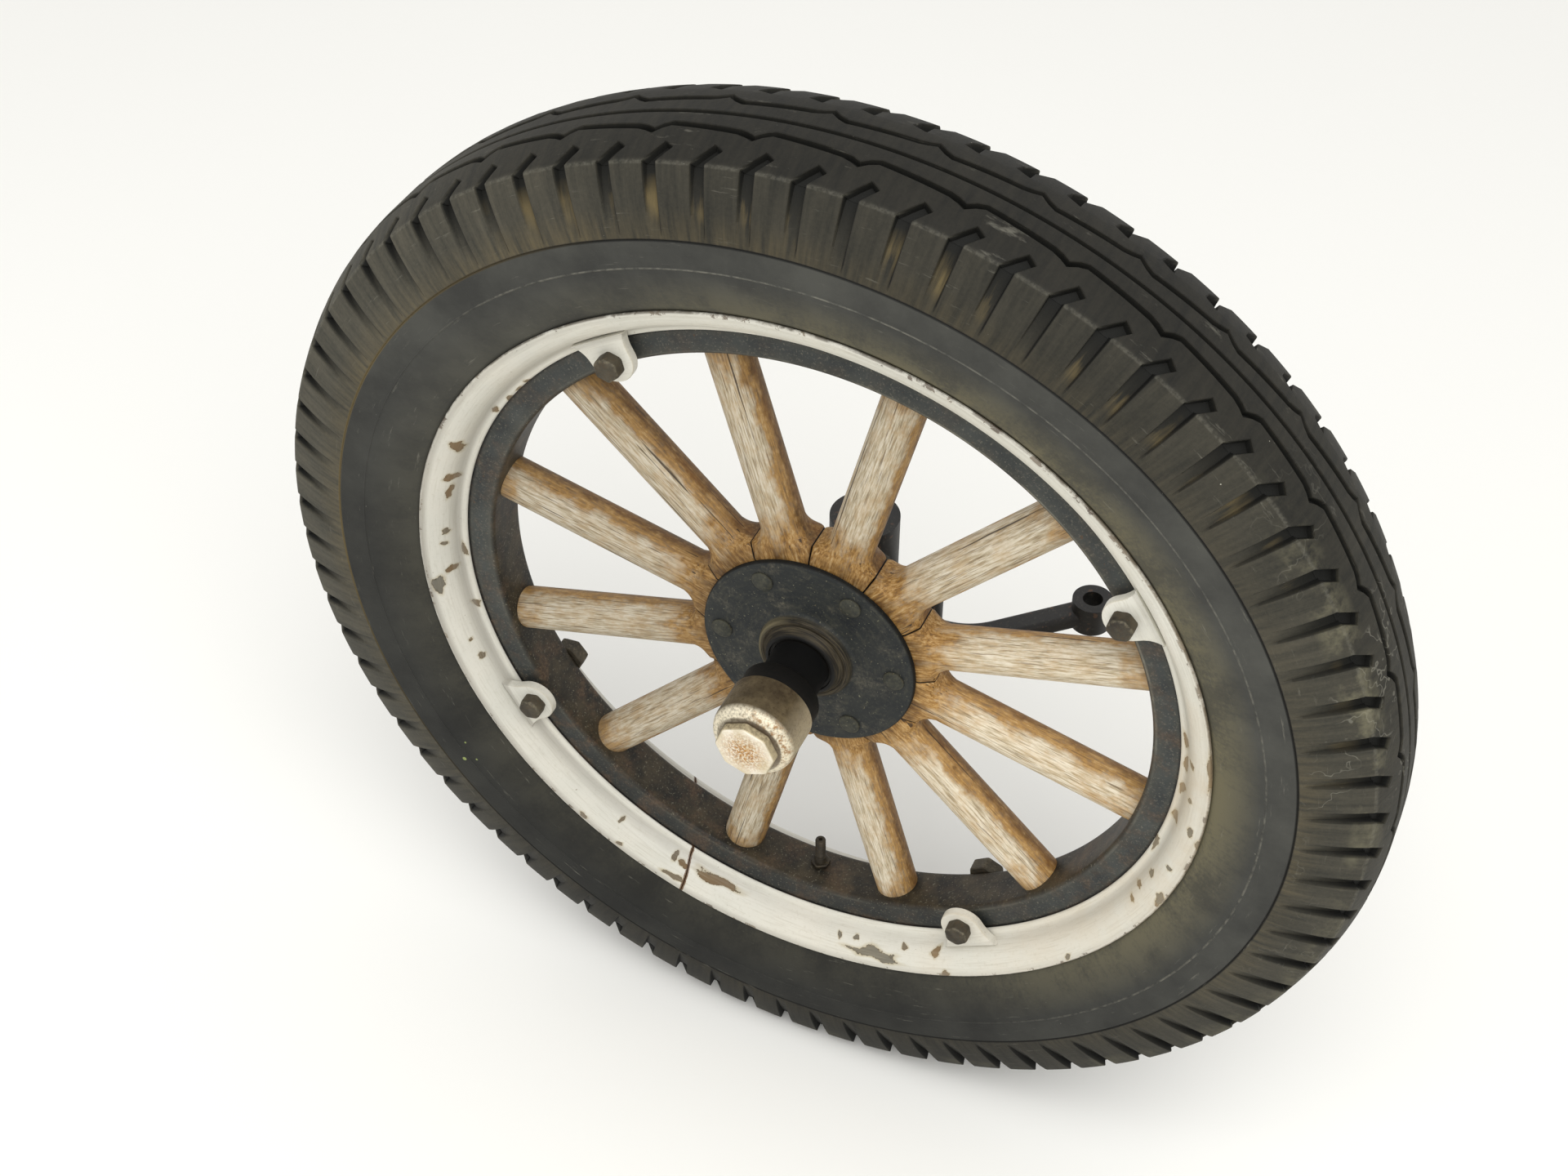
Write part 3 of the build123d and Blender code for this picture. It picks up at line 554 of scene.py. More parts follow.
# old brushed enamel on steel: wear 0.5 and more shows the metal, less only stains the paint
def wornEnamel(name, look):
    look = {"dusty": 0.35, "stained": 0.5, "bareGrey": "#6A655C", "roughness": 0.55, "shine": 0.5, **look}
    material, add = newMaterial(name)
    place, radius, angle, along = polarCoordinates(add)
    cloud = add("noise", place, look["cloudScale"], 5, 0.55)
    fine = add("noise", place, 420, 4, 0.65)
    wear = add("mark", "wear")
    colour = add("blend", (cloud, 0.3, 0.7), look["paint"], look["paintPale"])
    specks = (("noise", place, look["speckScale"], 2, 0.5, 3), look["specks"], look["specks"] + 0.03, 0, 0.75)
    colour = layered(add, colour, ((fine, 0.55, 0.75, 0, look["dusty"]), look["dust"]),
                     ((wear, 0.05, 0.5, 0, look["stained"]), look["stain"]), (specks, look["bare"]))
    bare = add("blend", (("+", ("mark", "tone"), ("*", fine, 0.3)), 0.2, 1), look["bare"], look["bareGrey"])
    ragged = add("+", wear, ("*", ("-", ("noise", place, 360, 5, 0.65), 0.5), 1.25))
    chips = add("span", ragged, 0.46, 0.5)
    colour = add("blend", chips, colour, ("blend", (ragged, 0.5, 0.62), look["edge"], bare))
    if "extra" in look:
        colour = look["extra"](add, colour, place, radius, angle, along, fine, cloud)
    height = ("-", ("*", fine, 0.3), ("*", chips, 0.8))
    add("finish", ("surface", colour, (chips, 0, 1, look["roughness"], 0.8), look["shine"],
                   ("dent", height, 0.35, 0.0005)))
    return material


# rim: a rolled steel section, painted cream and chipped
rim = {
    "segments": 1080, "middle": 268, "splitAngle": -112.9, "splitSlant": -24, "splitGap": 0.8, "rustReach": 1.3,
    "wornInFrontOf": -22.3,
    "front": [(277, -41), (280.9, -43.1), (281, -44.2), (280.4, -44.9), (279.3, -45), (278.2, -44.6),
              (277, -43.9), (274.5, -42.9), (271.8, -41.5), (269, -39.6), (266.8, -37.4), (265.2, -35.2),
              (264, -33.1), (263, -31.1), (262.1, -29.3), (261.2, -27.8), (260.2, -26.6), (258.9, -25.8),
              (257.4, -25.3), (256.2, -24.7), (255.5, -23.9), (255.3, -23)],
    "rest": [(255.4, -22.4), (256.6, -20.2), (256.6, -12), (259, -8.5), (262, -7.5), (262, 4.5), (259, 5.5),
             (256.4, 7.5), (256.2, 19.5), (257.5, 21), (262, 23), (262.5, 34), (264, 37.6), (268, 40.6),
             (273.5, 42.8), (278.5, 44.8), (280.5, 44.9), (281, 43.6), (275, 39.2), (266.4, 34.9), (265, 33),
             (265, -33), (266.4, -34.9), (271, -37.9)],
    # chips as (radius, angle, reach across and along in mm, tone from brown to grey)
    "chips": [
        (266.7, 156.6, 3.6, 5, 0), (265, 163.8, 2.8, 4.2, 0), (264.6, 167, 1.4, 6, 0), (265.4, 175.2, 1.9, 2.4, 0.6),
        (266.4, 177.5, 1.7, 2, 0.6), (264.9, -177.2, 2.4, 3, 0), (273.4, -174.8, 4.6, 6, 1),
        (258.2, 180, 1.8, 5, 0.4), (258.4, -168.9, 1.8, 4, 0.4), (255.3, 139, 1.6, 3, 0.3),
        (255.7, 141.4, 1.4, 2.5, 0.3), (256, 144.4, 1.6, 3, 0.3), (258.4, 148, 1.5, 4, 0.1),
        (266.4, -163.2, 1.2, 1.3, 0.3), (265.1, -159.7, 1.8, 2.2, 0.5), (264.5, -122.8, 1.5, 1.6, 0.5),
        (264, -112.3, 1.8, 2.4, 0.5), (264.9, -110.5, 1.4, 4, 0), (273.6, -110.8, 2.2, 8, 0.5),
        (263.8, -104.3, 1.4, 21, 0), (271.2, -76.1, 3.2, 19, 1), (265, -71.1, 1.6, 2, 0.5),
        (266.2, -65.5, 2.5, 3.2, 0), (278.8, -64.1, 1.8, 4, 0.3), (265.3, -82.3, 1.4, 1.7, 0.8),
        (264.7, -79.5, 1.4, 1.7, 0.8), (277.2, -41.6, 1.8, 2.6, 1), (266.5, -24.5, 1.6, 2, 0.2),
        (263.9, -22, 1.7, 2.2, 0.2), (277.2, -19.5, 3, 4.5, 1), (278.1, -20.8, 1.3, 2, 0.1),
        (271, -13.9, 1.8, 2.2, 1), (264.9, -18.2, 1.8, 2.4, 1), (257.2, -14.3, 1.6, 6, 0.6), (260.2, -6.5, 2, 5, 0),
        (259.6, -0.8, 2, 5, 0), (259.8, 4, 2.2, 5, 0), (259.4, 8.3, 1.8, 6, 0), (265.9, 6.1, 1.8, 3, 0.5),
        (267.6, -0.1, 1.6, 2, 1), (272.9, -5, 2.4, 3.4, 1), (280.2, 7.3, 1.9, 16, 0.2), (280.4, -6, 1.7, 5, 1),
        (277.7, -127.8, 1.8, 3, 0.5), (276.7, -120.6, 1.6, 2.4, 0.5)]}


def refined(rows, spacing):
    out = []
    for (r0, y0), (r1, y1) in zip(rows, rows[1:]):
        count = max(1, round(hypot(r1 - r0, y1 - y0) / spacing))
        out += [(r0 + (r1 - r0) * k / count, y0 + (y1 - y0) * k / count) for k in range(count)]
    return out + [rows[-1]]


def rimExtra(add, colour, place, radius, angle, along, fine, cloud):
    colour = layered(
        add, colour,
        # brushed pale and stained in clouds, with painted shade as a dull pinkish band inside the lip
        ((ringNoise(add, angle, radius, along, (12, 900, 900), 3, 0.6), 0.5, 0.7, 0, 0.3), "#A9A38F"),
        (("*", (angle, {-180: 0.1, -100: 0.1, -60: 0.25, 0: 0.45, 30: 0.05, 150: 0.15}), (cloud, 0.4, 0.6, 0.3, 1)),
         "#B59C72"),
        (("*", (radius, 0.275, 0.2785), (radius, 0.2802, 0.2797), (along, plane - 0.036, plane - 0.039),
          (angle, {-180: 0.6, -140: 0.5, -90: 0.35, -60: 0.2, 0: 0.1, 100: 0.1, 150: 0.35})), "#857D70"),
        # the lip: rubbed to a dark broken line outside, dusty at the rear, bitten brown inside
        (("*", (radius, 0.2796, 0.2806), (("noise", place, 48, 5, 0.7), 0.42, 0.52, 0.1, 0.8)), "#4F4536"),
        (("*", (radius, 0.2792, 0.2802), (fine, 0.3, 0.6, 0.4, 1),
          (angle, {-180: 0, -50: 0, -20: 0.6, 30: 0.7, 60: 0.3, 90: 0})), "#6B5B40"),
        (("*", (radius, 0.2781, 0.2789), (("noise", place, 85, 5, 0.75), 0.56, 0.58, 0, 0.9)),
         ("blend", (cloud, 0.4, 0.6), "#54473A", "#8B7F6C")),
        # painted shade in the valley, darkest at the left, and painted shadow in the gap to the felloe as a dark line
        (("*", (radius, 0.2645, 0.2615), (radius, 0.2578, 0.2598),
          (angle, {-180: 0.55, -140: 0.5, -110: 0.3, -90: 0.1, -60: 0.15, -20: 0.35, 20: 0.2, 120: 0.3})), "#8A8478"),
        (("*", (along, plane - 0.0232, plane - 0.0226), (along, plane - 0.005, plane - 0.007), (radius, 0.259, 0.258)),
         "#14120E"))
    # painted shade: the whole rim darker toward the left
    colour = add("shade", colour, (angle, {-180: 0.78, -120: 0.88, -60: 0.94, 0: 0.98, 40: 1, 110: 0.95}))
    # rust along the cut
    rust = ("+", ("mark", "rust"), ("*", ("-", fine, 0.5), 0.9))
    return add("blend", (rust, 0.4, 0.65), colour, "#5F452B")


cream = wornEnamel("brushedCreamEnamel", {
    "paint": "#D5D3C7", "paintPale": "#E5E3D8", "cloudScale": 25, "dust": "#B7B19E", "dusty": 0.4,
    "stain": "#AC9A6A", "stained": 0.6, "bare": "#755F43", "bareGrey": "#6B685D", "edge": "#43351F", "specks": 0.74,
    "speckScale": 330, "roughness": 0.4, "extra": rimExtra})
slope = tan(radians(rim["splitSlant"])) * 180 / pi
profile = refined(rim["front"], 1.15) + rim["rest"]
shape = turned(profile, rim["segments"], slope, rim["splitAngle"], degrees(rim["splitGap"] / rim["middle"]))
spots = np.array(shape[0]) / mm
spotRadius = np.hypot(spots[:, 0], spots[:, 2])
spotAngle = np.degrees(np.arctan2(spots[:, 2], spots[:, 0]))
spotAcross = spots[:, 1] - wheelPlane
wear, tone = np.zeros(len(spots)), np.zeros(len(spots))
for k, (r, chipAngle, across, lengthwise, shade) in enumerate(rim["chips"]):
    beside = (spotAngle - chipAngle + 180) % 360 - 180
    out, along = (spotRadius - r) / across, np.radians(beside) * r / lengthwise
    bearing = np.arctan2(out, along)
    lobes = 1 + 0.2 * np.sin(2 * bearing + 1.7 * k)
    lobes += 0.12 * np.sin(3 * bearing + 2.9 * k) + 0.1 * np.sin(5 * bearing + 4.1 * k)
    apart = np.hypot(out + (0.3 if lengthwise > 8 else 0.1) * np.sin(5 * along + 2 * k), along) * lobes
    here = np.where(spotAcross < rim["wornInFrontOf"], np.clip(1.45 - apart, 0, 1), 0)
    tone = np.where(here > wear, shade, tone)
    wear = np.maximum(wear, here)
ringOf = np.arange(len(spots)) // len(profile)
fromCut = np.minimum(ringOf, rim["segments"] - ringOf) * 2 * pi * rim["middle"] / rim["segments"]
shape[2].update({"wear": list(wear), "tone": list(tone), "rust": list(np.exp(-(fromCut / rim["rustReach"]) ** 2))})
rimPiece = makePiece("creamRim", shape, "wheel", cream, 40)
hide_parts("rim")

# felloe: a pressed steel channel round the spokes
felloe = {"outer": 255.9, "inner": 236, "front": -22, "back": 15, "wall": 3, "bend": 4, "segments": 720}


def felloeExtra(add, colour, place, radius, angle, along, fine, cloud):
    # painted shade: the felloe darker round the bottom
    colour = add("shade", colour,
                 (angle, {-180: 1, -150: 0.6, -120: 0.42, -80: 0.4, -35: 0.85, 0: 1, 120: 0.8, 165: 0.9}))
    return layered(
        add, colour,
        # brown dust inside the round, painted shadow as a dark outer edge under the rim, the bend rubbed pale, specks
        ((radius, 0.239, 0.2366, 0, 0.95), ("blend", (("noise", place, 50, 6, 0.7), 0.4, 0.62), "#15120B", "#3A3223")),
        ((radius, 0.2532, 0.2545, 0, 0.85), "#0B0B0A"),
        (("*", (("abs", ("-", radius, 0.2388)), 0.0012, 0.0003),
          (angle, {-180: 0.05, 0: 0.15, 20: 0.55, 80: 0.45, 110: 0.1}), (cloud, 0.4, 0.55)), "#8F8B7B"),
        ((("noise", place, 620, 2, 0.6, 5), 0.6, 0.68, 0, 0.45), "#7D7868"),
        # rust, most of it on the front lower left
        (("*", (angle, {-180: 0.3, -145: 0.75, -110: 0.55, -50: 0.15, -30: 0.6, 10: 0.6, 40: 0.15, 125: 0.2, 145: 0.4,
                        180: 0.45}), (("noise", place, 42, 6, 0.7), 0.48, 0.62, 0, 0.85)),
         ("blend", (fine, 0.35, 0.65), "#33241A", "#66503A")))


blackPaint = wornEnamel("oldBlackEnamel", {
    "paint": "#25292A", "paintPale": "#444744", "cloudScale": 35, "dust": "#6E6B5E", "dusty": 0.6,
    "stain": "#55503F", "bare": "#54402E", "edge": "#2E2318", "specks": 0.7, "speckScale": 260, "shine": 0.3,
    "extra": felloeExtra})
outer, front, back, bend, wall = (felloe[key] for key in ("outer", "front", "back", "bend", "wall"))
low, high, foot = front + bend, back - bend, felloe["inner"] + bend
section = [(outer, front, 0.3), (248, front, 0)] + arc(foot, low, bend, 270, 180, 6, 0.22)
section += [(236, -8), (236, 4)] + arc(foot, high, bend, 180, 90, 6, 0.22)
section += [(outer, back, 0.3), (outer, back - wall)]
section += arc(foot, high, bend - wall, 90, 180, 3) + arc(foot, low, bend - wall, 180, 270, 3)
section += [(outer, front + wall)]
felloePiece = makePiece("steelFelloe", turned(section, felloe["segments"]), "wheel", blackPaint, 40)
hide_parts("felloe")

# spokes: mitred wedges that turn into round shafts
spoke = {"count": 12, "first": 16, "half": 15.5, "shaft": 15.2, "crotch": 10, "from": 33, "to": 236.4,
         "joint": 0.25, "edge": 0.7, "flatTo": 75, "roundFrom": 95}


def spokeRing(x):
    # the section at a distance from the axle: a flat, a rounded corner and a side in each quarter
    pitch = radians(180 / spoke["count"])
    height = spoke["shaft"] + spoke["crotch"]
    endX = height / tan(pitch)
    crotchX = (height / sin(pitch) - spoke["crotch"]) * cos(pitch)
    if x <= crotchX:
        width = x * tan(pitch) - spoke["joint"]
    elif x < endX:
        width = height - sqrt(spoke["crotch"] ** 2 - (x - endX) ** 2)
        width -= spoke["joint"] * (endX - x) / (endX - crotchX)
    else:
        width = spoke["shaft"]
    t = min(max((x - spoke["flatTo"]) / (spoke["roundFrom"] - spoke["flatTo"]), 0), 1)
    thick = spoke["half"] + (spoke["shaft"] - spoke["half"]) * t
    flat = (width - spoke["edge"]) * (1 - t) ** 1.15
    tall = (thick - spoke["edge"]) * (1 - t) ** 0.8
    power = 2 / (2 - 0.25 * sin(pi * t))
    corner = [radians(a) for a in (0, 13, 28, 45, 62, 77, 90)]
    quarter = [(0, thick), (0.5 * flat, thick)]
    quarter += [(flat + (width - flat) * sin(a) ** power, tall + (thick - tall) * cos(a) ** power)
                for a in corner]
    quarter += [(width, 0.5 * tall)]
    others = [(width, 0)] + quarter[:0:-1]
    ring = [(x, b, -t2) for b, t2 in quarter] + [(x, b, t2) for b, t2 in others]
    return ring + [(x, -b, t2) for b, t2 in quarter] + [(x, -b, -t2) for b, t2 in others]


stations = [*np.linspace(spoke["from"], 70, 6), *np.linspace(72, 100, 29), *np.linspace(104, spoke["to"], 22)]
# weathered hickory: grey-tan with dark fibres, old orange varnish where it was sheltered
hickory, add = newMaterial("weatheredHickory")
local = add("ShaderNodeAttribute", attribute_name="local").outputs["Vector"]
copy = add("mark", "copy")
outFrom, beside, across = add("ShaderNodeSeparateXYZ", local).outputs


def fibres(scaleAlong, scaleAcross, detail, offset):
    stretched = add("ShaderNodeMapping", {0: local, 3: (scaleAlong, scaleAcross, scaleAcross)}).outputs[0]
    return add("noise", stretched, 1, detail, 0.6, ("+", ("*", copy, 3.7), offset))


broad = fibres(22, 90, 4, 0)
grain = fibres(75, 850, 5, 2)
lines = fibres(42, 1300, 3, 5)
cracks = fibres(9, 380, 2, 11)
blotch = fibres(230, 420, 5, 8)
patches = fibres(60, 95, 4, 14)
wood = add("ramp", grain, stops={0.3: "#8A7759", 0.43: "#BDAD8F", 0.55: "#DED2BA", 0.7: "#EAE0CC"})
streaked = ("+", ("*", blotch, 0.45), ("*", grain, 0.55))
varnish = add("ramp", streaked, stops={0.34: "#523511", 0.44: "#855C22", 0.52: "#A87E3E", 0.63: "#C6A673"})
# varnish is left beside the hub plate, in patches beyond it, and along the sheltered back half
far = add("+", outFrom, ("*", ("-", patches, 0.5), 0.1))
angle = polarCoordinates(add)[2]
leaning = ("-", ("*", ("cos", angle), 0.12), ("*", ("sin", angle), 0.7))
backHalf = add("+", across, ("*", beside, leaning), ("*", ("-", patches, 0.5), 0.022), ("*", ("-", grain, 0.5), 0.008))
varnished = ("+", ("max", (far, 0.122, 0.088), (far, 0.205, 0.236, 0, 0.7), (backHalf, -0.0065, -0.0005, 0, 0.85)),
             ("*", ("-", grain, 0.5), 0.9), ("*", ("-", blotch, 0.5), 0.5))
halfPitch = tan(radians(180 / spoke["count"]))
wood = layered(
    add, wood,
    # golden patches and dark fibres
    ((("+", ("*", patches, 0.6), ("*", blotch, 0.4)), 0.46, 0.62, 0, 0.5), "#BF9F70"),
    ((lines, 0.56, 0.65, 0, 0.7), "#65513B"),
    # the varnish, its stain by the plate and its back darkened by old varnish and painted shade, then cracks
    ((varnished, 0.15, 0.9, 0, 0.95), varnish),
    (("*", (outFrom, 0.09, 0.078), (patches, 0.42, 0.6, 0, 0.7)), "#4A2F12"),
    (("*", (backHalf, 0.0045, 0.0085, 0, 0.8), (blotch, 0.35, 0.7, 1, 0.6)),
     ("blend", (broad, 0.35, 0.65), "#3A230D", "#6E4517")),
    ((cracks, 0.66, 0.69, 0, 0.85), "#35261A"),
    # the joint between two spokes is a dark line
    (("*", (("-", ("*", outFrom, halfPitch), ("abs", beside)), 0.0008, 0.0004), (outFrom, 0.097, 0.092)), "#150D06"))
# painted shade: the spokes darker toward the left and the top, lightest on the right
wood = add("shade", wood, (angle, {-180: 0.66, -100: 0.7, -60: 0.92, 0: 1, 30: 0.86, 60: 0.78, 110: 0.74}))
add("finish", ("surface", wood, 0.6, 0.3, ("dent", ("-", grain, ("*", lines, 0.7)), 0.3, 0.0006)))

blank = loft([spokeRing(x) for x in stations], atAngle(spoke["first"]))
spokesPiece = ringPiece("hickorySpokes", blank, spoke["count"], hickory)
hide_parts(*["spoke_%02d" % i for i in range(1, 13)])

# rim lugs: flat ears with a round end, painted with the rim
lug = {"count": 4, "first": 31, "circle": 244, "endCentre": 245.6, "half": 15.4, "root": 262, "rootHalf": 21.5,
       "front": -33, "back": -26.5, "bevel": 0.9, "head": 16, "nut": 22, "nutFrom": 15,
       "nutTo": 26, "shank": 5.9, "end": 29}
outline = [(lug["endCentre"] + lug["half"] * cos(radians(t)), lug["half"] * sin(radians(t)))
           for t in np.linspace(90, 270, 37)]
flank = [(x, lug["half"] + more) for x, more in ((250, 0.35), (253.5, 1.1), (256.5, 2.1), (258.8, 3.3), (260.6, 4.8))]
flank.append((lug["root"], lug["rootHalf"]))
outline = [(x, s) for x, s in reversed(flank)] + outline + [(x, -s) for x, s in flank]
outline += [(lug["root"], s) for s in np.linspace(-lug["rootHalf"] + 5, lug["rootHalf"] - 5, 7)]


def inset(outline, by):
    out = []
    for k in range(len(outline)):
        (x0, s0), (x1, s1) = outline[k - 1], outline[(k + 1) % len(outline)]
        size = hypot(x1 - x0, s1 - s0)
        out.append((outline[k][0] - by * (s1 - s0) / size, outline[k][1] + by * (x1 - x0) / size))
    return out


bevel = lug["bevel"]
# layers of (across, inset, wear); the front ones bend forward to lap over the rim
layers = [(lug["back"], 0.5, 0.1), (lug["back"] - 0.5, 0, 0.1), (-30, 0, 0), (lug["front"] + bevel, 0, 0.12),
          (lug["front"] + 0.3 * bevel, 0.3 * bevel, 0.22), (lug["front"], bevel, 0.05)]


def lapped(x, s, across):
    t = min(max((hypot(x, s) - 252) / 11, 0), 1)
    return across - (1 * t * t * (3 - 2 * t) if across < -31 else 0)


rings = [[(x, s, lapped(x, s, across)) for x, s in inset(outline, by)] for across, by, w in layers]
shape = loft(rings, atAngle(lug["first"]), [layer[2] for layer in layers])
marks = shape[2]
marks["wear"] = [w * (0.1 if hypot(x, y) > 0.256 else 1) for w, (x, y, z) in zip(marks["wear"], marks["local"])]
lugsPiece = ringPiece("rimLugs", shape, lug["count"], cream)
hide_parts(*["rim_lug_%d" % i for i in range(1, 5)])


# old steel bolts: dark grey-brown with rubbed edges
def oldSteel(name, look):
    material, add = newMaterial(name)
    place, radius, angle, along = polarCoordinates(add)
    fine = add("noise", place, 480, 5, 0.65)
    cloud = add("noise", place, 90, 4, 0.6)
    colour = add("blend", (cloud, 0.35, 0.65), look["dark"], look["pale"])
    rubbed = (("+", ("mark", "wear"), ("*", ("-", fine, 0.5), 0.8)), 0.4, 0.7)
    colour = layered(add, colour, ((fine, 0.52, 0.7, 0, look["rusty"]), look["rust"]), (rubbed, look["rubbed"]))
    if "extra" in look:
        colour = look["extra"](add, colour, place, radius, angle, along, fine, cloud)
    roughness = (fine, 0.3, 0.7, look["roughness"], look["roughness"] + 0.25)
    add("finish", ("surface", colour, roughness, 0.5, ("dent", fine, 0.4, 0.0005), look["metallic"]))
    return material


boltSteel = oldSteel("dullBoltSteel", {
    "dark": "#2C271E", "pale": "#4E4738", "rust": "#55412B", "rusty": 0.6, "rubbed": "#7E7763", "metallic": 0.3,
    "roughness": 0.55})


def boltRing(name, bolt, material, *stacks):
    # bolts round the axle; each stack is an outline round the bolt's own line and its layers
    centre, position = (bolt["circle"], 0), atAngle(bolt["first"])
    shapes = [prism(centre, outline, layers, position) for outline, layers in stacks]
    return ringPiece(name, joined(*shapes), bolt["count"], material, 35)


lugBoltsPiece = boltRing(
    "lugBolts", lug, boltSteel,
    (manySided(6, lug["head"], 8.75, 12), [
        (-33, 1, 0.2), (-34, 1, 0.2), (-40.2, 0.99, 0.35), (-41.6, 0.95, 0.5), (-42.6, 0.82, 0.4),
        (-43, 0.6, 0.15), (-43, 0.3, 0)]),
    (circle(), [(-33.2, lug["shank"], 0), (26.2, lug["shank"], 0), (28.4, lug["shank"], 0),
                (lug["end"], lug["shank"] - 0.6, 0.3)]),
    (manySided(6, lug["nut"], 12.4, 5), [
        (lug["nutFrom"], 0.93, 0.3), (lug["nutFrom"] + 0.9, 1, 0.4), (lug["nutTo"] - 0.9, 1, 0.4),
        (lug["nutTo"], 0.93, 0.3), (lug["nutTo"], 0.7, 0)]))
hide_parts(*["lug_bolt_%d" % i for i in range(1, 5)])
print("rim, felloe, spokes and lugs made")


# hub: black flange, barrel and neck, with the plate and its carriage bolts in front
def hubExtra(add, colour, place, radius, angle, along, fine, cloud):
    collar = add("*", (radius, 0.0345, 0.0325), (along, plane - 0.0205, plane - 0.0225))
    return layered(
        add, colour,
        # grey-brown smears run round the plate, with clouds, specks and painted shade on the plate's side as a dark
        # edge
        ((ringNoise(add, angle, radius, along, (5, 260, 1), 5, 0.65), 0.5, 0.68, 0, 0.4), "#4A483C"),
        (("*", (("noise", place, 46, 5, 0.7), 0.54, 0.66), (fine, 0.4, 0.6, 0.12, 0.5)), "#656052"),
        ((("noise", place, 560, 2, 0.6, 4), 0.66, 0.7, 0, 0.6), "#8B876F"),
        ((radius, 0.075, 0.0756, 0, 0.8), "#0B0B0A"),
        # the bolt heads paler: dust, and a painted highlight that sets them off the plate
        (("*", (radius, 0.05, 0.052), (along, plane - 0.0202, plane - 0.0208), (fine, 0.4, 0.6, 0.1, 0.45)), "#4B4A3C"),
        # the collar is brown, with a painted highlight on its left; painted shade darkens its bore and the neck behind
        # the cap to near black
        (collar, ("blend", (ringNoise(add, angle, radius, along, (2, 1500, 1200), 2, 0.5), 0.4, 0.62),
                  "#1C1811", "#443C2C")),
        (("*", collar, (("cos", ("-", angle, 2.9)), 0.5, 0.95), (radius, 0.03, 0.0322), 0.6), "#7A7156"),
        ((along, plane - 0.0305, plane - 0.0335, 0, 0.95), "#050505"),
        ((radius, 0.0262, 0.0245, 0, 0.9), "#080808"))


hubPaint = wornEnamel("oldBlackHubEnamel", {
    "paint": "#1D2022", "paintPale": "#2C2E2C", "cloudScale": 60, "dust": "#625F51", "stain": "#4B4838",
    "stained": 0.4, "bare": "#5C5644", "bareGrey": "#777361", "edge": "#2B2920", "specks": 0.72, "speckScale": 300,
    "roughness": 0.6, "shine": 0.2, "extra": hubExtra})
hubProfile = [
    (25.05, 39.5), (30.2, 39.5, 0.3), (31, 38.7, 0.3), (31, 23.5), (32.2, 22, 0.1), (34, 21.5), (74.6, 21.5, 0.2),
    (76, 20.4, 0.35), (76, 16.6, 0.2), (75.4, 15.5), (32, 15.5), (32, -15.5), (20, -15.5), (20, -55.5), (20.6, -57),
    (24.6, -58.6), (26, -59.4, 0.2), (27, -61, 0.35), (27, -74.6), (26.6, -75), (22, -75), (22, -88.4), (21.4, -89),
    (18.5, -89), (18.5, -57), (16.05, -57), (16.05, -42), (14, -42), (16, -15.5), (18, 21), (20, 25), (25.05, 25)]
hubPiece = makePiece("hubBody", turned(hubProfile, 144), "wheel", hubPaint, 35)
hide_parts("hub")
plateProfile = [
    (20.3, -15.5), (75.4, -15.5), (76, -16), (76, -18.2), (75.7, -19.1), (75, -19.7), (73.8, -20), (66, -20),
    (50, -20), (37, -20), (35.4, -20.3), (34.1, -21.1), (33.4, -22.4), (33, -24.2, 0.15), (32.5, -25.6, 0.35),
    (31.5, -26.4, 0.4), (30.2, -26.6, 0.25), (29.2, -26.3), (28.6, -25.9), (28, -26.5, 0.3), (26.9, -28, 0.25),
    (25.6, -30.2, 0.2), (24.7, -31.4, 0.35), (23.8, -32, 0.35), (22.6, -31.9), (22.1, -30.6), (20.3, -30.4)]
platePiece = makePiece("hubPlate", turned(plateProfile, 180), "wheel", hubPaint, 40)
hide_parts("hub_plate")

hubBolt = {"count": 6, "first": 1, "circle": 62, "shank": 4.8, "nut": 16}
hubBoltsPiece = boltRing(
    "hubBolts", hubBolt, hubPaint,
    (circle(), [(-20, 7.2, 0.1), (-20.5, 7.4, 0.5), (-21.2, 7.3, 0.45), (-22.1, 6.2, 0.15), (-22.9, 4.6, 0.1),
                (-23.4, 2.6, 0.2), (-23.5, 0.9, 0.3)]),
    (circle(), [(-20.2, hubBolt["shank"], 0), (29.2, hubBolt["shank"], 0), (31, 4.7, 0), (31.5, 4.1, 0.3)]),
    (manySided(6, hubBolt["nut"], 9, 10), [
        (21.5, 0.94, 0.3), (22.2, 1, 0.4), (28.2, 1, 0.4), (29, 0.93, 0.3), (29, 0.7, 0)]))
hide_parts(*["hub_bolt_%d" % i for i in range(1, 7)])


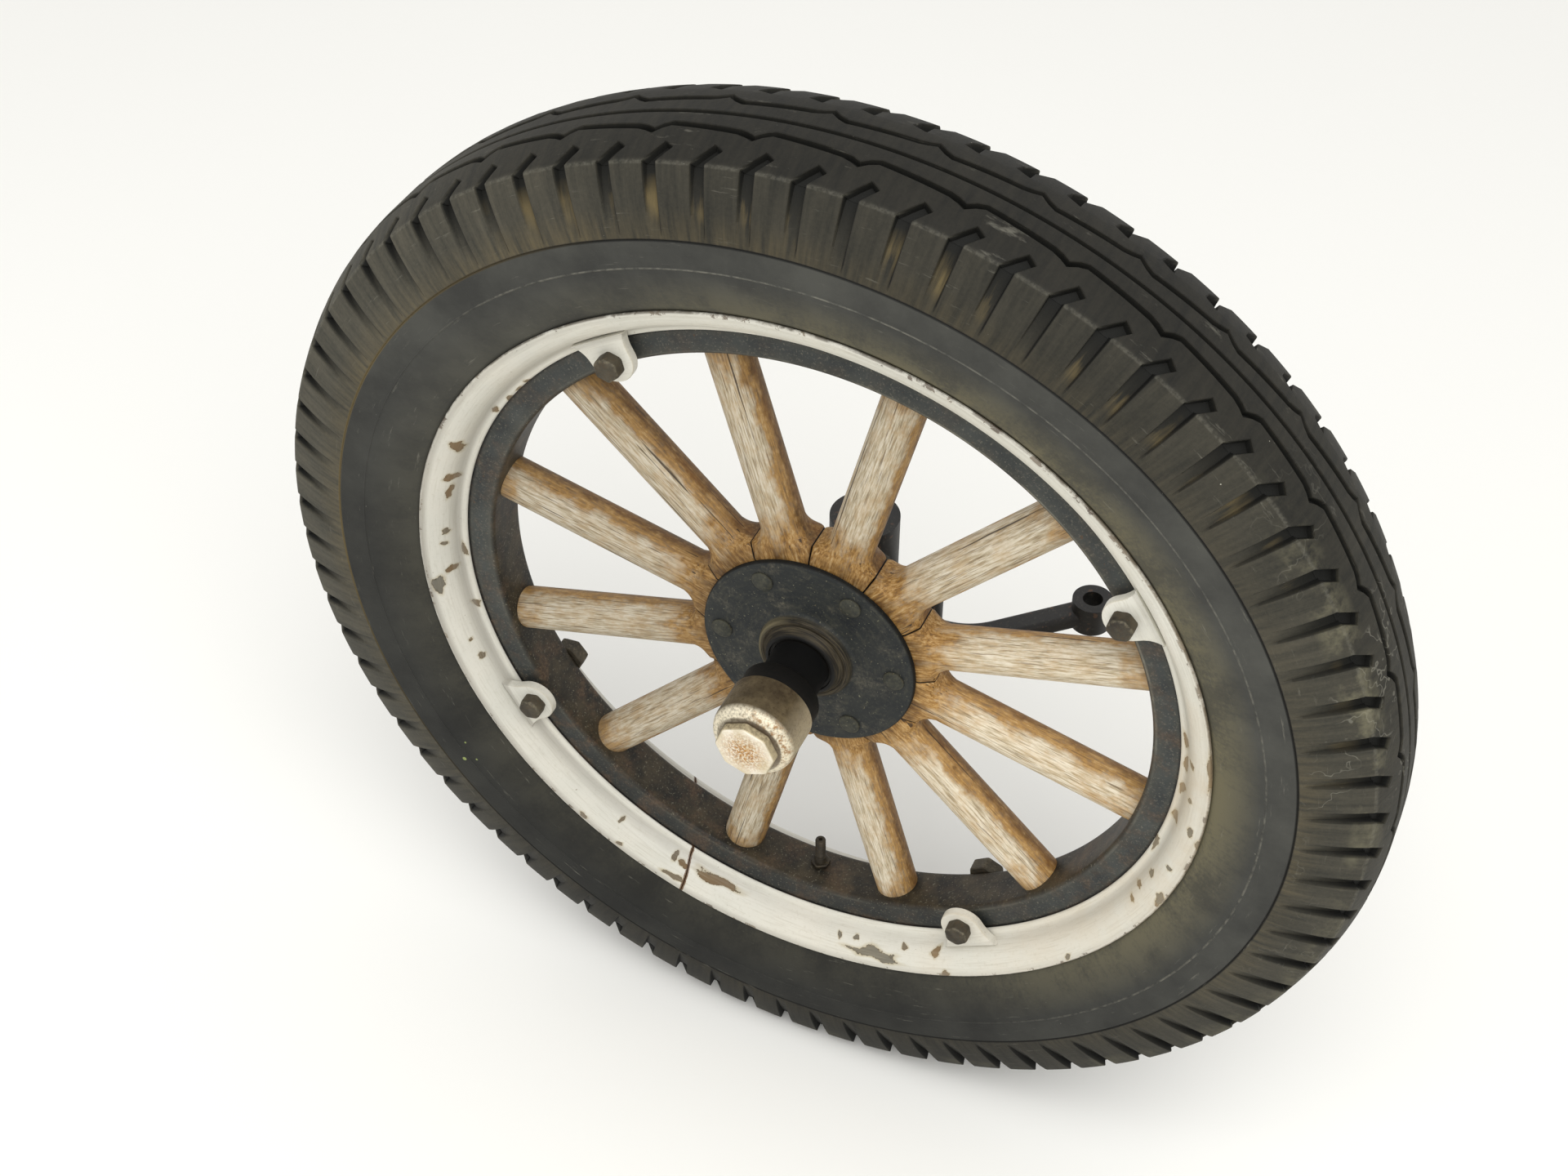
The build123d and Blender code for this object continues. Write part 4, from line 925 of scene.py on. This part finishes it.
# hub cap: worn nickel plate with rust specks and an eight-sided nose
def capExtra(add, colour, place, radius, angle, along, fine, cloud):
    # painted highlight on the body's right side, and painted shade over its top
    lowSide = ("*", (("cos", ("+", angle, 0.35)), 0.35, 0.95), (fine, 0.35, 0.55, 0.45, 0.9))
    colour = add("blend", lowSide, colour, "#B9AC90")
    colour = add("shade", colour, (angle, {-180: 0.9, 20: 1, 60: 0.85, 100: 0.7, 140: 0.8}))
    face = ("blend", ("*", (radius, 0.019, 0.005, 0.05, 1), (("noise", place, 620, 4, 0.7), 0.42, 0.54)),
            ("blend", (cloud, 0.35, 0.65), "#D2C5A6", "#F1EADB"), ("blend", (fine, 0.4, 0.6), "#8A5A1E", "#C48F42"))
    shoulder = add("*", (along, plane - 0.1015, plane - 0.1055), (along, plane - 0.1105, plane - 0.1092))
    toward = add("cos", ("-", angle, 0.6))
    return layered(
        add, colour, ((along, plane - 0.1162, plane - 0.1168), face),
        # the shoulder has a painted highlight over its rubbed plate, and is rusty toward the upper rear
        (("*", shoulder, (fine, 0.35, 0.55, 0.25, 0.95)), "#E9DFC6"),
        (("*", shoulder, (toward, 0.2, 0.9), (("noise", place, 260, 5, 0.7), 0.48, 0.58, 0, 0.85)), "#93672E"),
        # the nose's sides, then painted shade in the groove at its foot
        (("*", (along, plane - 0.1108, plane - 0.1114), (along, plane - 0.1167, plane - 0.1164),
          (fine, 0.35, 0.6, 0.3, 0.9)), "#BDAE8C"),
        (("*", (along, plane - 0.1093, plane - 0.1098), (along, plane - 0.1112, plane - 0.1105),
          (toward, -0.4, 0.7, 0.1, 0.75)), "#3A2814"))


nickel = oldSteel("wornNickelPlate", {
    "dark": "#3E311C", "pale": "#6C5E43", "rust": "#35240F", "rusty": 0.65, "rubbed": "#EDE4CC", "metallic": 0.4,
    "roughness": 0.42, "extra": capExtra})
capRings = [(-76.5, 22.2, 0), (-75, 22.2, 0.2), (-75, 28, 0.3), (-75.6, 28.5, 0.3), (-90, 28.5, 0),
            (-99, 28.5, 0), (-102, 28.3, 0), (-104.2, 27.8, 0), (-106, 27, 0), (-107.4, 25.9, 0.1),
            (-108.4, 24.6, 0.3), (-109.2, 23.2, 0.2), (-109.8, 22, 0)]
noseLayers = [(-110.2, 1.03, 0), (-110.6, 1, 0), (-115.6, 1, 0), (-116.3, 0.985, 0.6), (-117, 0.94, 0.5),
              (-117, 0.8, 0.1), (-117, 0.4, 0)]
nose = manySided(8, 38.8, 20.7, 24.5, 12)
rings = [[(r * cos(t), r * sin(t), y) for t, noseRadius in nose] for y, r, w in capRings]
rings += [[(r * size * cos(t), r * size * sin(t), y) for t, r in nose] for y, size, w in noseLayers]
wears = [w for y, size, w in capRings + noseLayers]
capPiece = makePiece("nickelCap", loft(rings, atAngle(0), wears), "wheel", nickel, 35)
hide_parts("hub_cap")

# valve: a threaded brass stem with its nut on the felloe
brass = oldSteel("dirtyBrass", {
    "dark": "#211E19", "pale": "#3D362A", "rust": "#4E4029", "rusty": 0.5, "rubbed": "#85724C", "metallic": 0.6,
    "roughness": 0.4})
valve = {"angle": -89, "tip": 209, "thread": 18, "pitch": 1.2}


def rod(rows, outline=circle(32)):
    return [[(x, size * r * cos(t), size * r * sin(t)) for t, r in outline] for x, size, w in rows]


rows = [(211, 1.3, 0.1), (209.2, 1.5, 0.1), (209, 2.9, 0.3), (209.4, 3.6, 0.4)]
x = valve["tip"] + 0.8
while x < valve["tip"] + valve["thread"] - 1.5:
    rows += [(x, 3.4, 0), (x + 0.35, 3.85, 0.35), (x + 0.6, 3.85, 0.35), (x + 0.95, 3.4, 0)]
    x += valve["pitch"]
rows += [(226.6, 3.4, 0), (227, 4.4, 0.2), (227.4, 4.6, 0.2), (265, 4.6, 0), (265.2, 9, 0), (267, 9, 0)]
stem = loft(rod(rows), atAngle(valve["angle"]), [row[2] for row in rows])
rows = [(232, 0.92, 0.3), (232.6, 1, 0.4), (235.2, 1, 0.2), (235.7, 0.94, 0.2)]
nut = loft(rod(rows, manySided(6, 13, 7.3)), atAngle(valve["angle"]), [row[2] for row in rows])
valvePiece = makePiece("valveStem", joined(stem, nut), "wheel", brass, 40)
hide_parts("valve_stem")
print("hub, cap and valve made")

# stub axle, arm, bushings and bearings keep their solids
chassisPaint = wornEnamel("greasyChassisEnamel", {
    "paint": "#151413", "paintPale": "#26231F", "cloudScale": 45, "dust": "#6B6455", "stain": "#4D4232",
    "stained": 0.6, "bare": "#553C29", "edge": "#2A2118", "specks": 0.64, "speckScale": 180, "shine": 0.4})
dress(chassisPaint, "stub_axle", "steering_arm")
dress(boltSteel, "steering_arm_nut")
bronze = oldSteel("oilyBronze", {
    "dark": "#7A5A32", "pale": "#96733F", "rust": "#4E3A22", "rusty": 0.5, "rubbed": "#B8935A", "metallic": 0.85,
    "roughness": 0.32})
dress(bronze, "upper_bushing", "lower_bushing")
ground = oldSteel("greasyGroundSteel", {
    "dark": "#7B7A76", "pale": "#96948E", "rust": "#4A4238", "rusty": 0.4, "rubbed": "#B5B3AC", "metallic": 0.9,
    "roughness": 0.25})
dress(ground, "inner_bearing", "outer_bearing", "spindle_nut")
